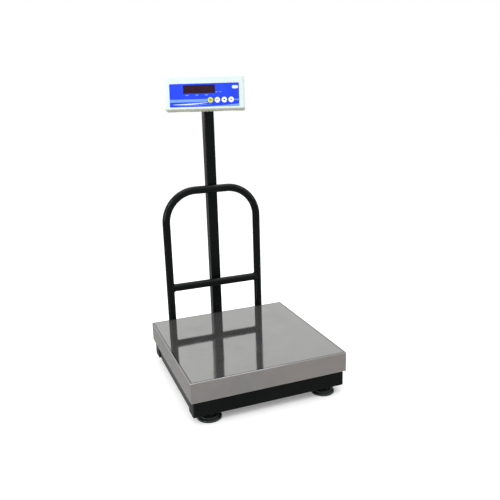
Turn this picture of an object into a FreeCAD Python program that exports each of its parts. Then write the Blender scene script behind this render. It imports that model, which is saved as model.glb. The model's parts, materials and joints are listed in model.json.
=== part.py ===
"""Platform shipping scale: a steel pan on a single load cell, carried by a square-tube base on four
levelling feet, with a bent guard rail and a square pole that holds a swivelling, tilting indicator.

Millimetres, +Z up.  The origin lies on the floor under the middle of the whole scale, X runs to the
right as the user faces the display, and Y runs away from the user.
"""
import FreeCAD, Part
import math
import os
import re

import Sketcher
from FreeCAD import Placement, Rotation, Vector

SIZES = {
    # weighing pan
    "pan_size": 400, "pan_y": -34, "pan_top": 110, "pan_skirt": 50, "pan_wall": 1.2, "pan_edge": 2.5,
    # base frame of square tube
    "frame_width": 390, "frame_depth": 386, "frame_low": 18, "tube": 38, "tube_wall": 2, "tube_corner": 4,
    "plug_cap": 3, "plug_deep": 14,
    "beam_width": 50, "beam_height": 25, "beam_low": 20,
    # levelling feet
    "foot_x": 150, "foot_y": 168, "foot_radius": 30, "foot_tall": 11.6, "socket_floor": 3,
    "foot_edge": 1.5, "foot_rim_tall": 5.5, "foot_step": 23, "foot_step_tall": 7, "foot_hub": 15,
    "foot_hub_tall": 8.5, "foot_lip": 12,
    "stud_radius": 5.95, "nut_bore": 6, "stud_top": 45, "nut_width": 19, "locknut_tall": 6,
    "weldnut_tall": 10, "stud_hole": 6.4,
    # load cell and the plates above and below it
    "cell_length": 150, "cell_width": 30, "cell_height": 22, "cell_hole": 7, "cell_hole_gap": 15,
    "spacer_tall": 5, "spacer_length": 41, "cell_bolt": 4, "cell_bolt_bore": 4.05, "cell_bolt_near": 44,
    "cell_bolt_far": 64, "bolt_head_radius": 6.5, "bolt_head_tall": 4.5, "cell_thread": 16,
    "cell_slot": 4,
    # live frame that the pan rests on
    "live_tube": 25, "live_wall": 1.6, "live_span": 330, "live_y": 160.5, "pad_x": 150, "pad_radius": 12,
    # overload stops
    "stop_x": 120, "stop_y": 163, "stop_gap": 0.8, "stop_low": 44, "stop_nut": 13, "stop_nut_tall": 6.5,
    # guard rail
    "rail_radius": 11, "rail_wall": 1.6, "rail_half": 135, "rail_y": 220, "rail_top": 475, "rail_bend": 88,
    "rail_low": 20, "crossbar_height": 197, "cope_gap": 0.02, "holder_radius": 14, "holder_bore": 11.2,
    "holder_tab": 10,
    # pole
    "pole": 28, "pole_wall": 2, "pole_corner": 2.5, "pole_x": 8, "pole_back": 245, "pole_top": 700,
    "bracket_plate": 3, "bracket_low": 22, "bracket_tall": 30, "pole_cap": 3, "pole_plug_deep": 25,
    "frame_bolt": 4, "frame_bolt_bore": 4.1, "frame_bolt_head": 6, "pole_bolt_height": 27,
    "holder_bolt_height": 37,
    # swivel yoke and tilt bracket
    "tilt_height": 726, "spigot_radius": 9.95, "spigot_bore": 10, "spigot_hollow": 4, "yoke_half": 30,
    "yoke_plate": 3, "yoke_reach": 12, "yoke_disc": 13.5, "yoke_gap": 0.3, "ear_half": 26.7,
    "ear_plate": 3, "ear_radius": 10, "tilt_plate": 20, "tilt_plate_hole": 7, "tilt_bolt": 3,
    "tilt_bore": 3.05, "tilt_head": 5.5, "tilt_head_tall": 3.5, "tilt_head_gap": 0.3, "tilt_nut": 10,
    "tilt_nut_tall": 4, "tilt_stud": 14,
    # clamping knob
    "knob_radius": 15, "knob_tall": 13, "knob_low": 5.4, "knob_boss": 8, "knob_boss_low": 0.4,
    "knob_boss_tall": 6, "knob_bore_deep": 14.6, "knob_flute": 3.2, "knob_flute_ring": 15.5,
    # indicator housing
    "case_width": 212, "case_height": 87, "case_back": 34, "case_split": 66, "case_front": 80,
    "case_wall": 2.5, "face_wall": 3, "case_corner": 5, "post_x": 97, "post_w": 35, "post_radius": 4,
    "post_bore": 2.2, "post_thread": 1.7, "case_screw": 1.65, "case_screw_deep": 8,
    "case_screw_head": 3.4, "case_screw_head_tall": 2,
    "overlay_width": 183.5, "overlay_height": 60, "overlay_thick": 0.5, "overlay_sunk": 0.6,
    "overlay_w": -6, "overlay_fit": 0.4,
    "window_width": 84, "window_height": 21.5, "window_u": -13.5, "window_w": 9.5, "window_fit": 0.4,
    "key_radius": 7.3, "key_hole": 7.6, "key_u": 16, "key_pitch": 18.3, "key_w": -19.2, "key_proud": 0.6,
    "key_shaft": 5, "key_flange": 8.6, "key_flange_tall": 1, "behind_face": 0.4,
    # inside the housing
    "board_front": 72, "board_thick": 1.6, "board_left": -75, "board_right": 85, "board_low": -30,
    "board_high": 32, "contact": 3, "contact_tall": 2.3, "module_inset": 2, "module_half": 9.5,
    "buzzer_radius": 6, "buzzer_tall": 8, "buzzer_u": 40, "buzzer_w": 18,
    "battery_left": -48, "battery_right": 22, "battery_low": -36, "battery_high": 12,
    "battery_front": 62, "battery_back": 40,
    # cable gland and power inlet
    "gland_w": -4, "gland_hole": 6.2, "gland_radius": 6, "gland_nut": 12, "gland_nut_tall": 5,
    "gland_flange": 7.5, "gland_flange_tall": 3,
    "inlet_u": 70, "inlet_w": -12, "inlet_hole": 5.7, "inlet_radius": 5.6, "inlet_deep": 12,
    "inlet_flange": 7, "inlet_flange_tall": 1.5, "inlet_bore": 3, "inlet_bore_deep": 9, "inlet_pin": 1,
    # power switch
    "switch_u": -70, "switch_w": -12, "switch_width": 21, "switch_height": 15, "switch_fit": 0.9,
    "switch_lip": 1, "switch_lip_tall": 1.5, "switch_deep": 15, "rocker_width": 15, "rocker_height": 10,
    "rocker_gap": 0.4, "rocker_room": 9, "rocker_hinge": 3, "rocker_pin": 0.8, "rocker_pin_bore": 0.85,
    "rocker_pin_long": 1.4,
    # cable
    "cable_radius": 2.5, "cable_x": 33, "cable_bore": 4, "cell_cable_height": 61, "cable_low": 37,
}
HEAD_YAW = -22
HEAD_TILT = 9
ROCKER_TILT = 8

doc = FreeCAD.newDocument("PlatformScale")
sheet = doc.addObject("Spreadsheet::Sheet", "Sizes")
for row, (alias, size) in enumerate(SIZES.items(), 1):
    sheet.set(f"A{row}", alias)
    sheet.set(f"B{row}", str(size))
    sheet.setAlias(f"B{row}", alias)
doc.recompute()

SUB_PARTS = []
AXES = {"X": Rotation(Vector(0, 1, 0), 90), "Y": Rotation(Vector(1, 0, 0), -90), "Z": Rotation()}
PLANES = {"X": "YZ_Plane", "Y": "XZ_Plane", "Z": "XY_Plane"}


# ---------------------------------------------------------------- helpers

def formula(text):
    """The text as a FreeCAD expression, each alias led by the sheet's name."""
    return re.sub(r"[a-z_]+", lambda m: f"Sizes.{m[0]}" if m[0] in SIZES else m[0], str(text))


def bind(thing, **sizes):
    """Bind properties of a document object to expressions; _ in a name stands for a dot."""
    for name, text in sizes.items():
        thing.setExpression(name.replace("_", "."), formula(text))
    return thing


def put(thing, x=0, y=0, z=0, turn=Rotation()):
    """Place an object by expressions, turned by a fixed rotation."""
    thing.Placement = Placement(Vector(), turn)
    return bind(thing, Placement_Base_x=x, Placement_Base_y=y, Placement_Base_z=z)


def keep(thing, label):
    """Record a document object as a sub-part under its own label."""
    thing.Label = label
    SUB_PARTS.append(thing)
    return thing


def box(x0, x1, y0, y1, z0, z1):
    """Box between two corners given as expressions."""
    made = doc.addObject("Part::Box", "Block")
    bind(made, Length=f"({x1}) - ({x0})", Width=f"({y1}) - ({y0})", Height=f"({z1}) - ({z0})")
    return put(made, x0, y0, z0)


def rod(radius, length, x=0, y=0, z=0, along="Z"):
    """Cylinder that starts at a point and runs along one axis."""
    made = doc.addObject("Part::Cylinder", "Rod")
    bind(made, Radius=radius, Height=length)
    return put(made, x, y, z, AXES[along])


def hexagon(width, tall, x=0, y=0, z=0, along="Z"):
    """Hexagonal prism of a given width across flats."""
    made = doc.addObject("Part::Prism", "Hexagon")
    bind(made, Circumradius=f"({width}) / sqrt(3)", Height=tall)
    return put(made, x, y, z, AXES[along])


def fuse(*members):
    made = doc.addObject("Part::MultiFuse", "Fusion")
    made.Shapes = list(members)
    return made


def cut(base, *tools):
    made = doc.addObject("Part::Cut", "Cut")
    made.Base = base
    made.Tool = tools[0] if len(tools) == 1 else fuse(*tools)
    return made


def group(*members):
    """Several separate solids as one sub-part."""
    made = doc.addObject("Part::Compound", "Group")
    made.Links = list(members)
    return made


def new_body(name):
    return doc.addObject("PartDesign::Body", name)


def new_sketch(body, normal="Z", lift=0):
    """Sketch on one of the body's own origin planes, lifted along the plane's normal."""
    drawing = body.newObject("Sketcher::SketchObject", "Profile")
    plane = next(f for f in body.Origin.OriginFeatures if f.Role == PLANES[normal])
    drawing.AttachmentSupport = [(plane, "")]
    drawing.MapMode = "FlatFace"
    return bind(drawing, AttachmentOffset_Base_z=lift)


def hold(drawing, kind, *where):
    """Add a dimension to a sketch and bind it to the expression that comes last."""
    number = drawing.addConstraint(Sketcher.Constraint(kind, *where[:-1], 1.0))
    drawing.setExpression(f"Constraints[{number}]", formula(where[-1]))


def polygon(drawing, points):
    """Closed outline whose corners are pairs of expressions."""
    first, count = drawing.GeometryCount, len(points)
    for n in range(count):
        angles = (math.tau * n / count, math.tau * (n + 1) / count)
        ends = [Vector(math.cos(a), math.sin(a), 0) for a in angles]
        drawing.addGeometry(Part.LineSegment(*ends), False)
    for n, (across, up) in enumerate(points):
        before = first + (n - 1) % count
        drawing.addConstraint(Sketcher.Constraint("Coincident", before, 2, first + n, 1))
        hold(drawing, "DistanceX", -1, 1, first + n, 1, across)
        hold(drawing, "DistanceY", -1, 1, first + n, 1, up)


def rectangle(drawing, wide, tall, across=0, up=0):
    """Rectangle about a centre, all as expressions."""
    left, right = (f"({across}) {sign} ({wide}) / 2" for sign in "-+")
    low, high = (f"({up}) {sign} ({tall}) / 2" for sign in "-+")
    polygon(drawing, [(left, low), (right, low), (right, high), (left, high)])


def circle(drawing, radius, across=0, up=0):
    number = drawing.addGeometry(Part.Circle(Vector(0, 0, 0), Vector(0, 0, 1), 1.0), False)
    hold(drawing, "Radius", number, radius)
    hold(drawing, "DistanceX", -1, 1, number, 3, across)
    hold(drawing, "DistanceY", -1, 1, number, 3, up)


def pad(body, drawing, length):
    made = body.newObject("PartDesign::Pad", "Pad")
    made.Profile = drawing
    drawing.Visibility = False
    return bind(made, Length=length)


def pocket(body, drawing, depth, forward=False):
    """Cut from a sketch against its plane's normal, or along it when forward."""
    made = body.newObject("PartDesign::Pocket", "Pocket")
    made.Profile = drawing
    made.Reversed = forward
    return bind(made, Length=depth)


def fillet(body, radius, wanted):
    """Round the edges of the body's last feature that wanted(edge) picks."""
    doc.recompute()
    base = body.Tip
    names = [f"Edge{n}" for n, edge in enumerate(base.Shape.Edges, 1) if wanted(edge)]
    made = body.newObject("PartDesign::Fillet", "Fillet")
    made.Base = (base, names)
    return bind(made, Radius=radius)


def runs(edge, axis):
    """True for a straight edge parallel to an axis."""
    step = edge.Vertexes[-1].Point - edge.Vertexes[0].Point
    return abs(abs(step.dot(axis)) - step.Length) < 1e-6 and step.Length > 1e-6


def square_tube(along, wide, tall, length, wall, corner):
    """Hollow tube with rounded outer corners, centred on the origin of its body."""
    body = new_body("Tube")
    drawing = new_sketch(body, along, f"-({length}) / 2")
    rectangle(drawing, wide, tall)
    rectangle(drawing, f"({wide}) - 2 * {wall}", f"({tall}) - 2 * {wall}")
    pad(body, drawing, length)
    doc.recompute()
    axis = AXES[along].multVec(Vector(0, 0, 1))
    long_edges = [e for e in body.Tip.Shape.Edges if runs(e, axis)]
    outside = sorted((e.CenterOfMass.Length for e in long_edges), reverse=True)[3]
    fillet(body, corner, lambda e: runs(e, axis) and e.CenterOfMass.Length > outside - 1e-3)
    return body


def turned(points):
    """Solid of revolution about Z from a profile of radius and height expressions."""
    body = new_body("Turned")
    drawing = new_sketch(body, "Y")
    polygon(drawing, points)
    made = body.newObject("PartDesign::Revolution", "Revolution")
    made.Profile = drawing
    made.ReferenceAxis = (drawing, ["V_Axis"])
    made.Angle = 360
    return body


def corners(x, y):
    """The four places of a rectangle about the pan's centre: name, x and y expressions."""
    for end, way in (("front", "-"), ("rear", "+")):
        for side, sign in (("left", "-"), ("right", "")):
            yield f"{end}_{side}", f"{sign}{x}", f"pan_y {way} {y}"


def size_of(alias):
    return float(getattr(sheet, alias))


# ---------------------------------------------------------------- base frame

def base_frame():
    middle = "frame_low + tube / 2"
    for end, way in (("front", "-"), ("rear", "+")):
        line = f"pan_y {way} (frame_depth - tube) / 2"
        length = "frame_width - 2 * plug_cap"
        tube = put(square_tube("X", "tube", "tube", length, "tube_wall", "tube_corner"), 0, line, middle)
        holes = [rod("stud_hole", "tube_wall + 2", f"{s}foot_x", f"pan_y {way} foot_y", "frame_low - 1")
                 for s in ("-", "")]
        holes += [rod("cell_bolt_bore", "tube_wall + 2", f"{s}stop_x", f"pan_y {way} stop_y",
                      "frame_low + tube - tube_wall - 1") for s in ("-", "")]
        if end == "rear":
            inner, outer = "pan_y + frame_depth / 2 - tube - 1", "pan_y + frame_depth / 2 - tube_wall - 1"
            holes.append(rod("cable_bore", "tube_wall + 2", "cable_x", inner, "cable_low", "Y"))
            holes.append(rod("cable_bore", "tube_wall + 2", "pole_x", outer, "cable_low", "Y"))
        keep(cut(tube, *holes), f"{end}_rail")
    for side, sign in (("left", "-"), ("right", "")):
        tube = square_tube("Y", "tube", "tube", "frame_depth - 2 * tube", "tube_wall", "tube_corner")
        keep(put(tube, f"{sign}(frame_width - tube - 2 * plug_cap) / 2", "pan_y", middle), f"{side}_rail")
    beam = square_tube("Y", "beam_width", "beam_height", "frame_depth - 2 * tube", "tube_wall", "pole_corner")
    put(beam, 0, "pan_y", "beam_low + beam_height / 2")
    bolt_holes = [rod("cell_bolt_bore", "beam_height + 2", 0, f"pan_y - {y}", "beam_low - 1")
                  for y in ("cell_bolt_near", "cell_bolt_far")]
    keep(cut(beam, *bolt_holes), "centre_beam")
    keep(group(*[end_plug(sign, way) for sign in (-1, 1) for way in (-1, 1)]), "end_plugs")


def end_plug(side, end):
    """Moulded plug that closes one end of a front or rear rail."""
    body = new_body("Plug")
    cap = new_sketch(body, "X", "frame_width / 2 - plug_cap")
    rectangle(cap, "tube", "tube")
    pad(body, cap, "plug_cap")
    fillet(body, "tube_corner", lambda e: runs(e, Vector(1, 0, 0)))
    face = size_of("frame_width") / 2
    fillet(body, "plug_cap * 0.6", lambda e: abs(e.CenterOfMass.x - face) < 1e-6)
    shank = new_sketch(body, "X", "frame_width / 2 - plug_cap - plug_deep")
    rectangle(shank, "tube - 2 * tube_wall - 0.2", "tube - 2 * tube_wall - 0.2")
    pad(body, shank, "plug_deep")
    turn = Rotation() if side > 0 else Rotation(Vector(0, 0, 1), 180)
    return put(body, 0, f"pan_y + {end} * (frame_depth - tube) / 2", "frame_low + tube / 2", turn)


def feet():
    """Four swivel pads with their studs, and the nuts that hold the studs in the frame."""
    nuts = []
    for name, x, y in corners("foot_x", "foot_y"):
        profile = [("0", "0"), ("foot_radius - foot_edge", "0"), ("foot_radius", "foot_edge"),
                   ("foot_radius", "foot_rim_tall - foot_edge"), ("foot_radius - foot_edge", "foot_rim_tall"),
                   ("foot_step", "foot_step_tall"), ("foot_hub", "foot_hub_tall"),
                   ("foot_lip + 1", "foot_tall - 1"), ("foot_lip", "foot_tall"),
                   ("nut_bore", "foot_tall"), ("nut_bore", "socket_floor"), ("0", "socket_floor")]
        keep(put(turned(profile), x, y), f"foot_pad_{name}")
        stud = turned([("0", "0"), ("stud_radius", "0"), ("stud_radius", "stud_top - socket_floor - 1"),
                       ("stud_radius - 1", "stud_top - socket_floor"), ("0", "stud_top - socket_floor")])
        keep(put(stud, x, y, "socket_floor"), f"foot_stud_{name}")
        for low, tall in (("frame_low - locknut_tall", "locknut_tall"),
                          ("frame_low + tube_wall", "weldnut_tall")):
            bore = rod("nut_bore", f"{tall} + 2", x, y, f"{low} - 1")
            nuts.append(cut(hexagon("nut_width", tall, x, y, low), bore))
    keep(group(*nuts), "foot_nuts")


# ---------------------------------------------------------------- load cell and live frame

def cell_bolt(y, head_low, shank_low, shank_top):
    """Cap screw at a place along Y, its head and shank as one solid."""
    head = rod("bolt_head_radius", "bolt_head_tall", 0, y, head_low)
    return fuse(head, rod("cell_bolt", f"({shank_top}) - ({shank_low})", 0, y, shank_low))


def load_cell():
    low = "beam_low + beam_height"
    cell_low = f"{low} + spacer_tall"
    cell_top = f"{cell_low} + cell_height"
    half, wide = "cell_length / 2", "cell_width / 2"
    near, far = "cell_bolt_near", "cell_bolt_far"
    plate = box(f"-{wide}", wide, f"pan_y - {half}", f"pan_y - {half} + spacer_length", low, cell_low)
    bores = [rod("cell_bolt_bore", "spacer_tall + 2", 0, f"pan_y - {y}", f"{low} - 1") for y in (near, far)]
    keep(cut(plate, *bores), "lower_spacer")

    blank = box(f"-{wide}", wide, f"pan_y - {half}", f"pan_y + {half}", cell_low, cell_top)
    middle = f"{cell_low} + cell_height / 2"
    tools = [rod("cell_hole", "cell_width + 2", f"-{wide} - 1", f"pan_y {way} cell_hole_gap", middle, "X")
             for way in "-+"]
    tools.append(box(f"-{wide} - 1", f"{wide} + 1", "pan_y - cell_hole_gap", "pan_y + cell_hole_gap",
                     f"{middle} - cell_slot / 2", f"{middle} + cell_slot / 2"))
    tools += [rod("cell_bolt_bore", "cell_thread + 1", 0, f"pan_y - {y}", f"{cell_low} - 1")
              for y in (near, far)]
    tools += [rod("cell_bolt_bore", "cell_thread + 1", 0, f"pan_y + {y}", f"{cell_top} - cell_thread")
              for y in (near, far)]
    keep(cut(blank, *tools), "load_cell")

    lower_end = f"{cell_low} + cell_thread - 1"
    lower = [cell_bolt(f"pan_y - {y}", "beam_low - bolt_head_tall", "beam_low", lower_end)
             for y in (near, far)]
    keep(group(*lower), "lower_cell_bolts")

    live_low = f"{cell_top} + spacer_tall"
    live_top = f"{live_low} + live_tube"
    plate = box(f"-{wide}", wide, f"pan_y + {half} - spacer_length", f"pan_y + {half}", cell_top, live_low)
    bores = [rod("cell_bolt_bore", "spacer_tall + 2", 0, f"pan_y + {y}", f"{cell_top} - 1")
             for y in (near, far)]
    keep(cut(plate, *bores), "upper_spacer")
    upper = [cell_bolt(f"pan_y + {y}", live_top, f"{cell_top} - cell_thread + 1", live_top)
             for y in (near, far)]
    keep(group(*upper), "upper_cell_bolts")

    tube = square_tube("Y", "beam_width", "live_tube", "2 * live_y - live_tube", "tube_wall", "pole_corner")
    put(tube, 0, "pan_y", f"{live_low} + live_tube / 2")
    bores = [rod("cell_bolt_bore", "live_tube + 2", 0, f"pan_y + {y}", f"{live_low} - 1")
             for y in (near, far)]
    keep(cut(tube, *bores), "live_centre_tube")
    for end, way in (("front", "-"), ("rear", "+")):
        tube = square_tube("X", "live_tube", "live_tube", "live_span", "live_wall", "pole_corner")
        keep(put(tube, 0, f"pan_y {way} live_y", f"{live_low} + live_tube / 2"), f"live_{end}_tube")

    pads = [rod("pad_radius", f"pan_top - pan_wall - ({live_top})", x, y, live_top)
            for _, x, y in corners("pad_x", "live_y")]
    keep(group(*pads), "pan_pads")

    frame_top = "frame_low + tube"
    stops = list(corners("stop_x", "stop_y"))
    screws = [rod("cell_bolt", f"{live_low} - stop_gap - stop_low", x, y, "stop_low") for _, x, y in stops]
    keep(group(*screws), "overload_screws")
    nuts = [cut(hexagon("stop_nut", "stop_nut_tall", x, y, frame_top),
                rod("cell_bolt_bore", "stop_nut_tall + 2", x, y, f"{frame_top} - 1")) for _, x, y in stops]
    keep(group(*nuts), "overload_locknuts")


def pan():
    """Folded sheet pan: a flat top with a skirt down each side."""
    body = new_body("Pan")
    drawing = new_sketch(body, "Z", "pan_top - pan_skirt")
    rectangle(drawing, "pan_size", "pan_size")
    pad(body, drawing, "pan_skirt")
    top = size_of("pan_top")
    fillet(body, "pan_edge", lambda e: runs(e, Vector(0, 0, 1)) or abs(e.CenterOfMass.z - top) < 1e-6)
    inside = new_sketch(body, "Z", "pan_top - pan_skirt")
    rectangle(inside, "pan_size - 2 * pan_wall", "pan_size - 2 * pan_wall")
    pocket(body, inside, "pan_skirt - pan_wall", forward=True)
    top_inside = size_of("pan_top") - size_of("pan_wall")
    inner = size_of("pan_size") / 2 - size_of("pan_wall")
    fillet(body, "pan_edge - pan_wall", lambda e: (
        runs(e, Vector(0, 0, 1)) and abs(abs(e.CenterOfMass.x) - inner) < 1e-3
        or abs(e.CenterOfMass.z - top_inside) < 1e-3))
    keep(put(body, 0, "pan_y"), "pan")


# ---------------------------------------------------------------- guard rail and pole

def guard_rail():
    """Bent round tube, an upside-down U, with a crossbar coped to its legs."""
    body = new_body("Rail")
    path = new_sketch(body, "Y")
    half, low, top, bend = (size_of(a) for a in ("rail_half", "rail_low", "rail_top", "rail_bend"))
    up = Part.LineSegment(Vector(-half, low, 0), Vector(-half, top - bend, 0))
    left = Part.Arc(Vector(-half, top - bend, 0), Vector(bend - half, top - bend, 0)
                    + Vector(-bend, bend, 0) * math.sqrt(0.5), Vector(bend - half, top, 0))
    over = Part.LineSegment(Vector(bend - half, top, 0), Vector(half - bend, top, 0))
    right = Part.Arc(Vector(half - bend, top, 0), Vector(half - bend, top - bend, 0)
                     + Vector(bend, bend, 0) * math.sqrt(0.5), Vector(half, top - bend, 0))
    down = Part.LineSegment(Vector(half, top - bend, 0), Vector(half, low, 0))
    path.addGeometry([up, left, over, right, down], False)
    for first, end, second, start in ((0, 2, 1, 2), (1, 1, 2, 1), (2, 2, 3, 2), (3, 1, 4, 1)):
        path.addConstraint(Sketcher.Constraint("Tangent", first, end, second, start))
    for line, way in ((0, "Vertical"), (2, "Horizontal"), (4, "Vertical")):
        path.addConstraint(Sketcher.Constraint(way, line))
    hold(path, "DistanceX", -1, 1, 0, 1, "-rail_half")
    hold(path, "DistanceY", -1, 1, 0, 1, "rail_low")
    hold(path, "DistanceX", -1, 1, 4, 2, "rail_half")
    hold(path, "DistanceY", -1, 1, 4, 2, "rail_low")
    hold(path, "DistanceY", -1, 1, 2, 1, "rail_top")
    hold(path, "Radius", 1, "rail_bend")
    hold(path, "Radius", 3, "rail_bend")
    ring = new_sketch(body, "Z", "rail_low")
    circle(ring, "rail_radius", "-rail_half")
    circle(ring, "rail_radius - rail_wall", "-rail_half")
    pipe = body.newObject("PartDesign::AdditivePipe", "Pipe")
    pipe.Profile = ring
    pipe.Spine = (path, [f"Edge{n}" for n in range(1, 6)])
    keep(put(body, 0, "pan_y + rail_y"), "guard_rail")

    line = "pan_y + rail_y"
    bar = rod("rail_radius", "2 * rail_half", "-rail_half", line, "crossbar_height", "X")
    hollow = rod("rail_radius - rail_wall", "2 * rail_half", "-rail_half", line, "crossbar_height", "X")
    legs = [rod("rail_radius + cope_gap", "4 * rail_radius", f"{sign}rail_half", line,
                "crossbar_height - 2 * rail_radius") for sign in ("-", "")]
    keep(cut(bar, hollow, *legs), "crossbar")

    holders = []
    for sign in ("-", ""):
        x = f"{sign}rail_half"
        outside = rod("holder_radius", "tube", x, line, "frame_low")
        tab = box(f"{x} - holder_tab", f"{x} + holder_tab", "pan_y + frame_depth / 2", line, "bracket_low",
                  "bracket_low + bracket_tall")
        bore = rod("holder_bore", "tube + 2", x, line, "frame_low - 1")
        hole = rod("frame_bolt_bore", "holder_radius + 2", x, line, "holder_bolt_height", "Y")
        holders.append(cut(fuse(outside, tab), bore, hole))
    keep(group(*holders), "rail_holders")


def frame_bolt(x, head, height, length):
    """Hex bolt that points at the user, its head against the plane y = head."""
    top = hexagon("stop_nut", "frame_bolt_head", x, head, height, "Y")
    return fuse(top, rod("frame_bolt", length, x, f"({head}) - ({length})", height, "Y"))


def pole():
    x, y = "pole_x", "pan_y + pole_back"
    front, back = f"{y} - pole / 2", f"{y} + pole / 2"
    tube = square_tube("Z", "pole", "pole", "pole_top - frame_low", "pole_wall", "pole_corner")
    put(tube, x, y, "(pole_top + frame_low) / 2")
    cable_way = rod("cable_bore", "pole_wall + 2", x, f"{front} - 1", "cable_low", "Y")
    bolt_way = rod("frame_bolt_bore", "pole + 2", x, f"{front} - 1", "pole_bolt_height", "Y")
    keep(cut(tube, cable_way, bolt_way), "pole")

    out = "pole / 2 + bracket_plate"
    high = "bracket_low + bracket_tall"
    wrap = box(f"{x} - ({out})", f"{x} + ({out})", "pan_y + frame_depth / 2", f"{back} + bracket_plate",
               "bracket_low", high)
    inside = box(f"{x} - pole / 2", f"{x} + pole / 2", "pan_y + frame_depth / 2 - 1", back, "bracket_low - 1",
                 f"{high} + 1")
    hole = rod("frame_bolt_bore", "2 * bracket_plate", x, back, "pole_bolt_height", "Y")
    keep(cut(wrap, inside, hole), "pole_bracket")

    holder_back = "pan_y + rail_y + holder_radius"
    bolts = [frame_bolt(x, f"{back} + bracket_plate", "pole_bolt_height", "pole + bracket_plate - pole_wall"),
             frame_bolt("-rail_half", holder_back, "holder_bolt_height", "holder_radius - holder_bore"),
             frame_bolt("rail_half", holder_back, "holder_bolt_height", "holder_radius - holder_bore")]
    keep(group(*bolts), "frame_bolts")

    body = new_body("PoleCap")
    shank = new_sketch(body, "Z", "pole_top - pole_plug_deep")
    rectangle(shank, "pole - 2 * pole_wall", "pole - 2 * pole_wall")
    pad(body, shank, "pole_plug_deep")
    lid = new_sketch(body, "Z", "pole_top")
    rectangle(lid, "pole", "pole")
    pad(body, lid, "pole_cap")
    bore = new_sketch(body, "Z", "pole_top + pole_cap")
    circle(bore, "spigot_bore")
    pocket(body, bore, "pole_plug_deep + pole_cap + 1")
    keep(put(body, x, y), "pole_cap")


# ---------------------------------------------------------------- swivel yoke and indicator
# These sub-parts are drawn about the point where the swivel and tilt axes cross: u to the right,
# v away from the user and w up.  The yoke is then turned on the pole and the head tilted back.

PIVOT = Vector(size_of("pole_x"), size_of("pan_y") + size_of("pole_back"), size_of("tilt_height"))
SWIVEL = Placement(PIVOT, Rotation(Vector(0, 0, 1), HEAD_YAW))
HEAD = Placement(PIVOT, SWIVEL.Rotation * Rotation(Vector(1, 0, 0), -HEAD_TILT))


def keep_on(place, thing, label):
    """Record a sub-part drawn about the pivot and move it to its place."""
    if thing.isDerivedFrom("Part::Primitive"):
        thing = group(thing)
    thing.Placement = place
    return keep(thing, label)


def yoke():
    """U-shaped yoke on a hollow spigot that turns in the pole's cap."""
    base = "pole_top + pole_cap + yoke_gap - tilt_height"
    foot = f"{base} + yoke_plate"
    end = "pole_top - pole_plug_deep - tilt_height"
    spigot = rod("spigot_radius", f"({foot}) - ({end})", 0, 0, end)
    disc = rod("yoke_disc", "yoke_plate", 0, 0, base)
    floor = box("-yoke_half", "yoke_half", "-yoke_reach", "yoke_reach", foot, f"{foot} + yoke_plate")
    solids, holes = [spigot, disc, floor], []
    for u0, u1 in (("-yoke_half", "yoke_plate - yoke_half"), ("yoke_half - yoke_plate", "yoke_half")):
        solids += [box(u0, u1, "-yoke_reach", "yoke_reach", foot, 0),
                   rod("yoke_reach", "yoke_plate", u0, 0, 0, "X")]
        holes.append(rod("tilt_bore", "yoke_plate + 2", f"({u0}) - 1", 0, 0, "X"))
    hollow = rod("spigot_hollow", "pole_plug_deep + 20", 0, 0, f"{end} - 1")
    keep_on(SWIVEL, cut(fuse(*solids), hollow, *holes), "swivel_yoke")


def tilt_bracket():
    """Plate on the back of the housing with two ears that sit inside the yoke."""
    back, face = "-case_back", "ear_plate - case_back"
    plate = box("-ear_half", "ear_half", back, face, "-tilt_plate", "tilt_plate")
    solids = [plate]
    holes = [rod("tilt_plate_hole", "ear_plate + 2", 0, "-case_back - 1", "gland_w", "Y")]
    for u0, u1 in (("-ear_half", "ear_plate - ear_half"), ("ear_half - ear_plate", "ear_half")):
        solids += [box(u0, u1, back, 0, "-ear_radius", "ear_radius"),
                   rod("ear_radius", "ear_plate", u0, 0, 0, "X")]
        holes.append(rod("tilt_bore", "ear_plate + 2", f"({u0}) - 1", 0, 0, "X"))
    keep_on(HEAD, cut(fuse(*solids), *holes), "tilt_bracket")

    inner = "ear_half - ear_plate"
    outer = "yoke_half + tilt_head_gap"
    left = fuse(rod("tilt_bolt", f"{outer} - ({inner})", f"-({outer})", 0, 0, "X"),
                rod("tilt_head", "tilt_head_tall", f"-({outer}) - tilt_head_tall", 0, 0, "X"),
                hexagon("tilt_nut", "tilt_nut_tall", f"-({inner})", 0, 0, "X"))
    right = fuse(rod("tilt_bolt", f"yoke_half - ({inner}) + tilt_stud", inner, 0, 0, "X"),
                 hexagon("tilt_nut", "tilt_nut_tall", f"{inner} - tilt_nut_tall", 0, 0, "X"))
    keep_on(HEAD, group(left, right), "tilt_bolts")

    flutes = [rod("knob_flute", "knob_tall", "yoke_half + knob_low", f"knob_flute_ring * {math.cos(a):.6f}",
                  f"knob_flute_ring * {math.sin(a):.6f}", "X") for a in (math.tau * n / 6 for n in range(6))]
    grip = rod("knob_radius", "knob_tall", "yoke_half + knob_low", 0, 0, "X")
    boss = rod("knob_boss", "knob_boss_tall", "yoke_half + knob_boss_low", 0, 0, "X")
    bore = rod("tilt_bore", "knob_bore_deep", "yoke_half", 0, 0, "X")
    keep_on(HEAD, cut(fuse(grip, boss), bore, *flutes), "tilt_knob")


def post(u, w):
    """Round boss behind a case screw in the rear shell, with its screw hole as a second solid."""
    length = "case_split - case_back - case_wall / 2"
    return (rod("post_radius", length, u, "-case_split", w, "Y"),
            rod("post_bore", f"{length} + 12", u, "-case_split - 1", w, "Y"))


def post_places():
    return [(f"{s}post_x", f"{t}post_w") for s in ("-", "") for t in ("-", "")]


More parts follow.
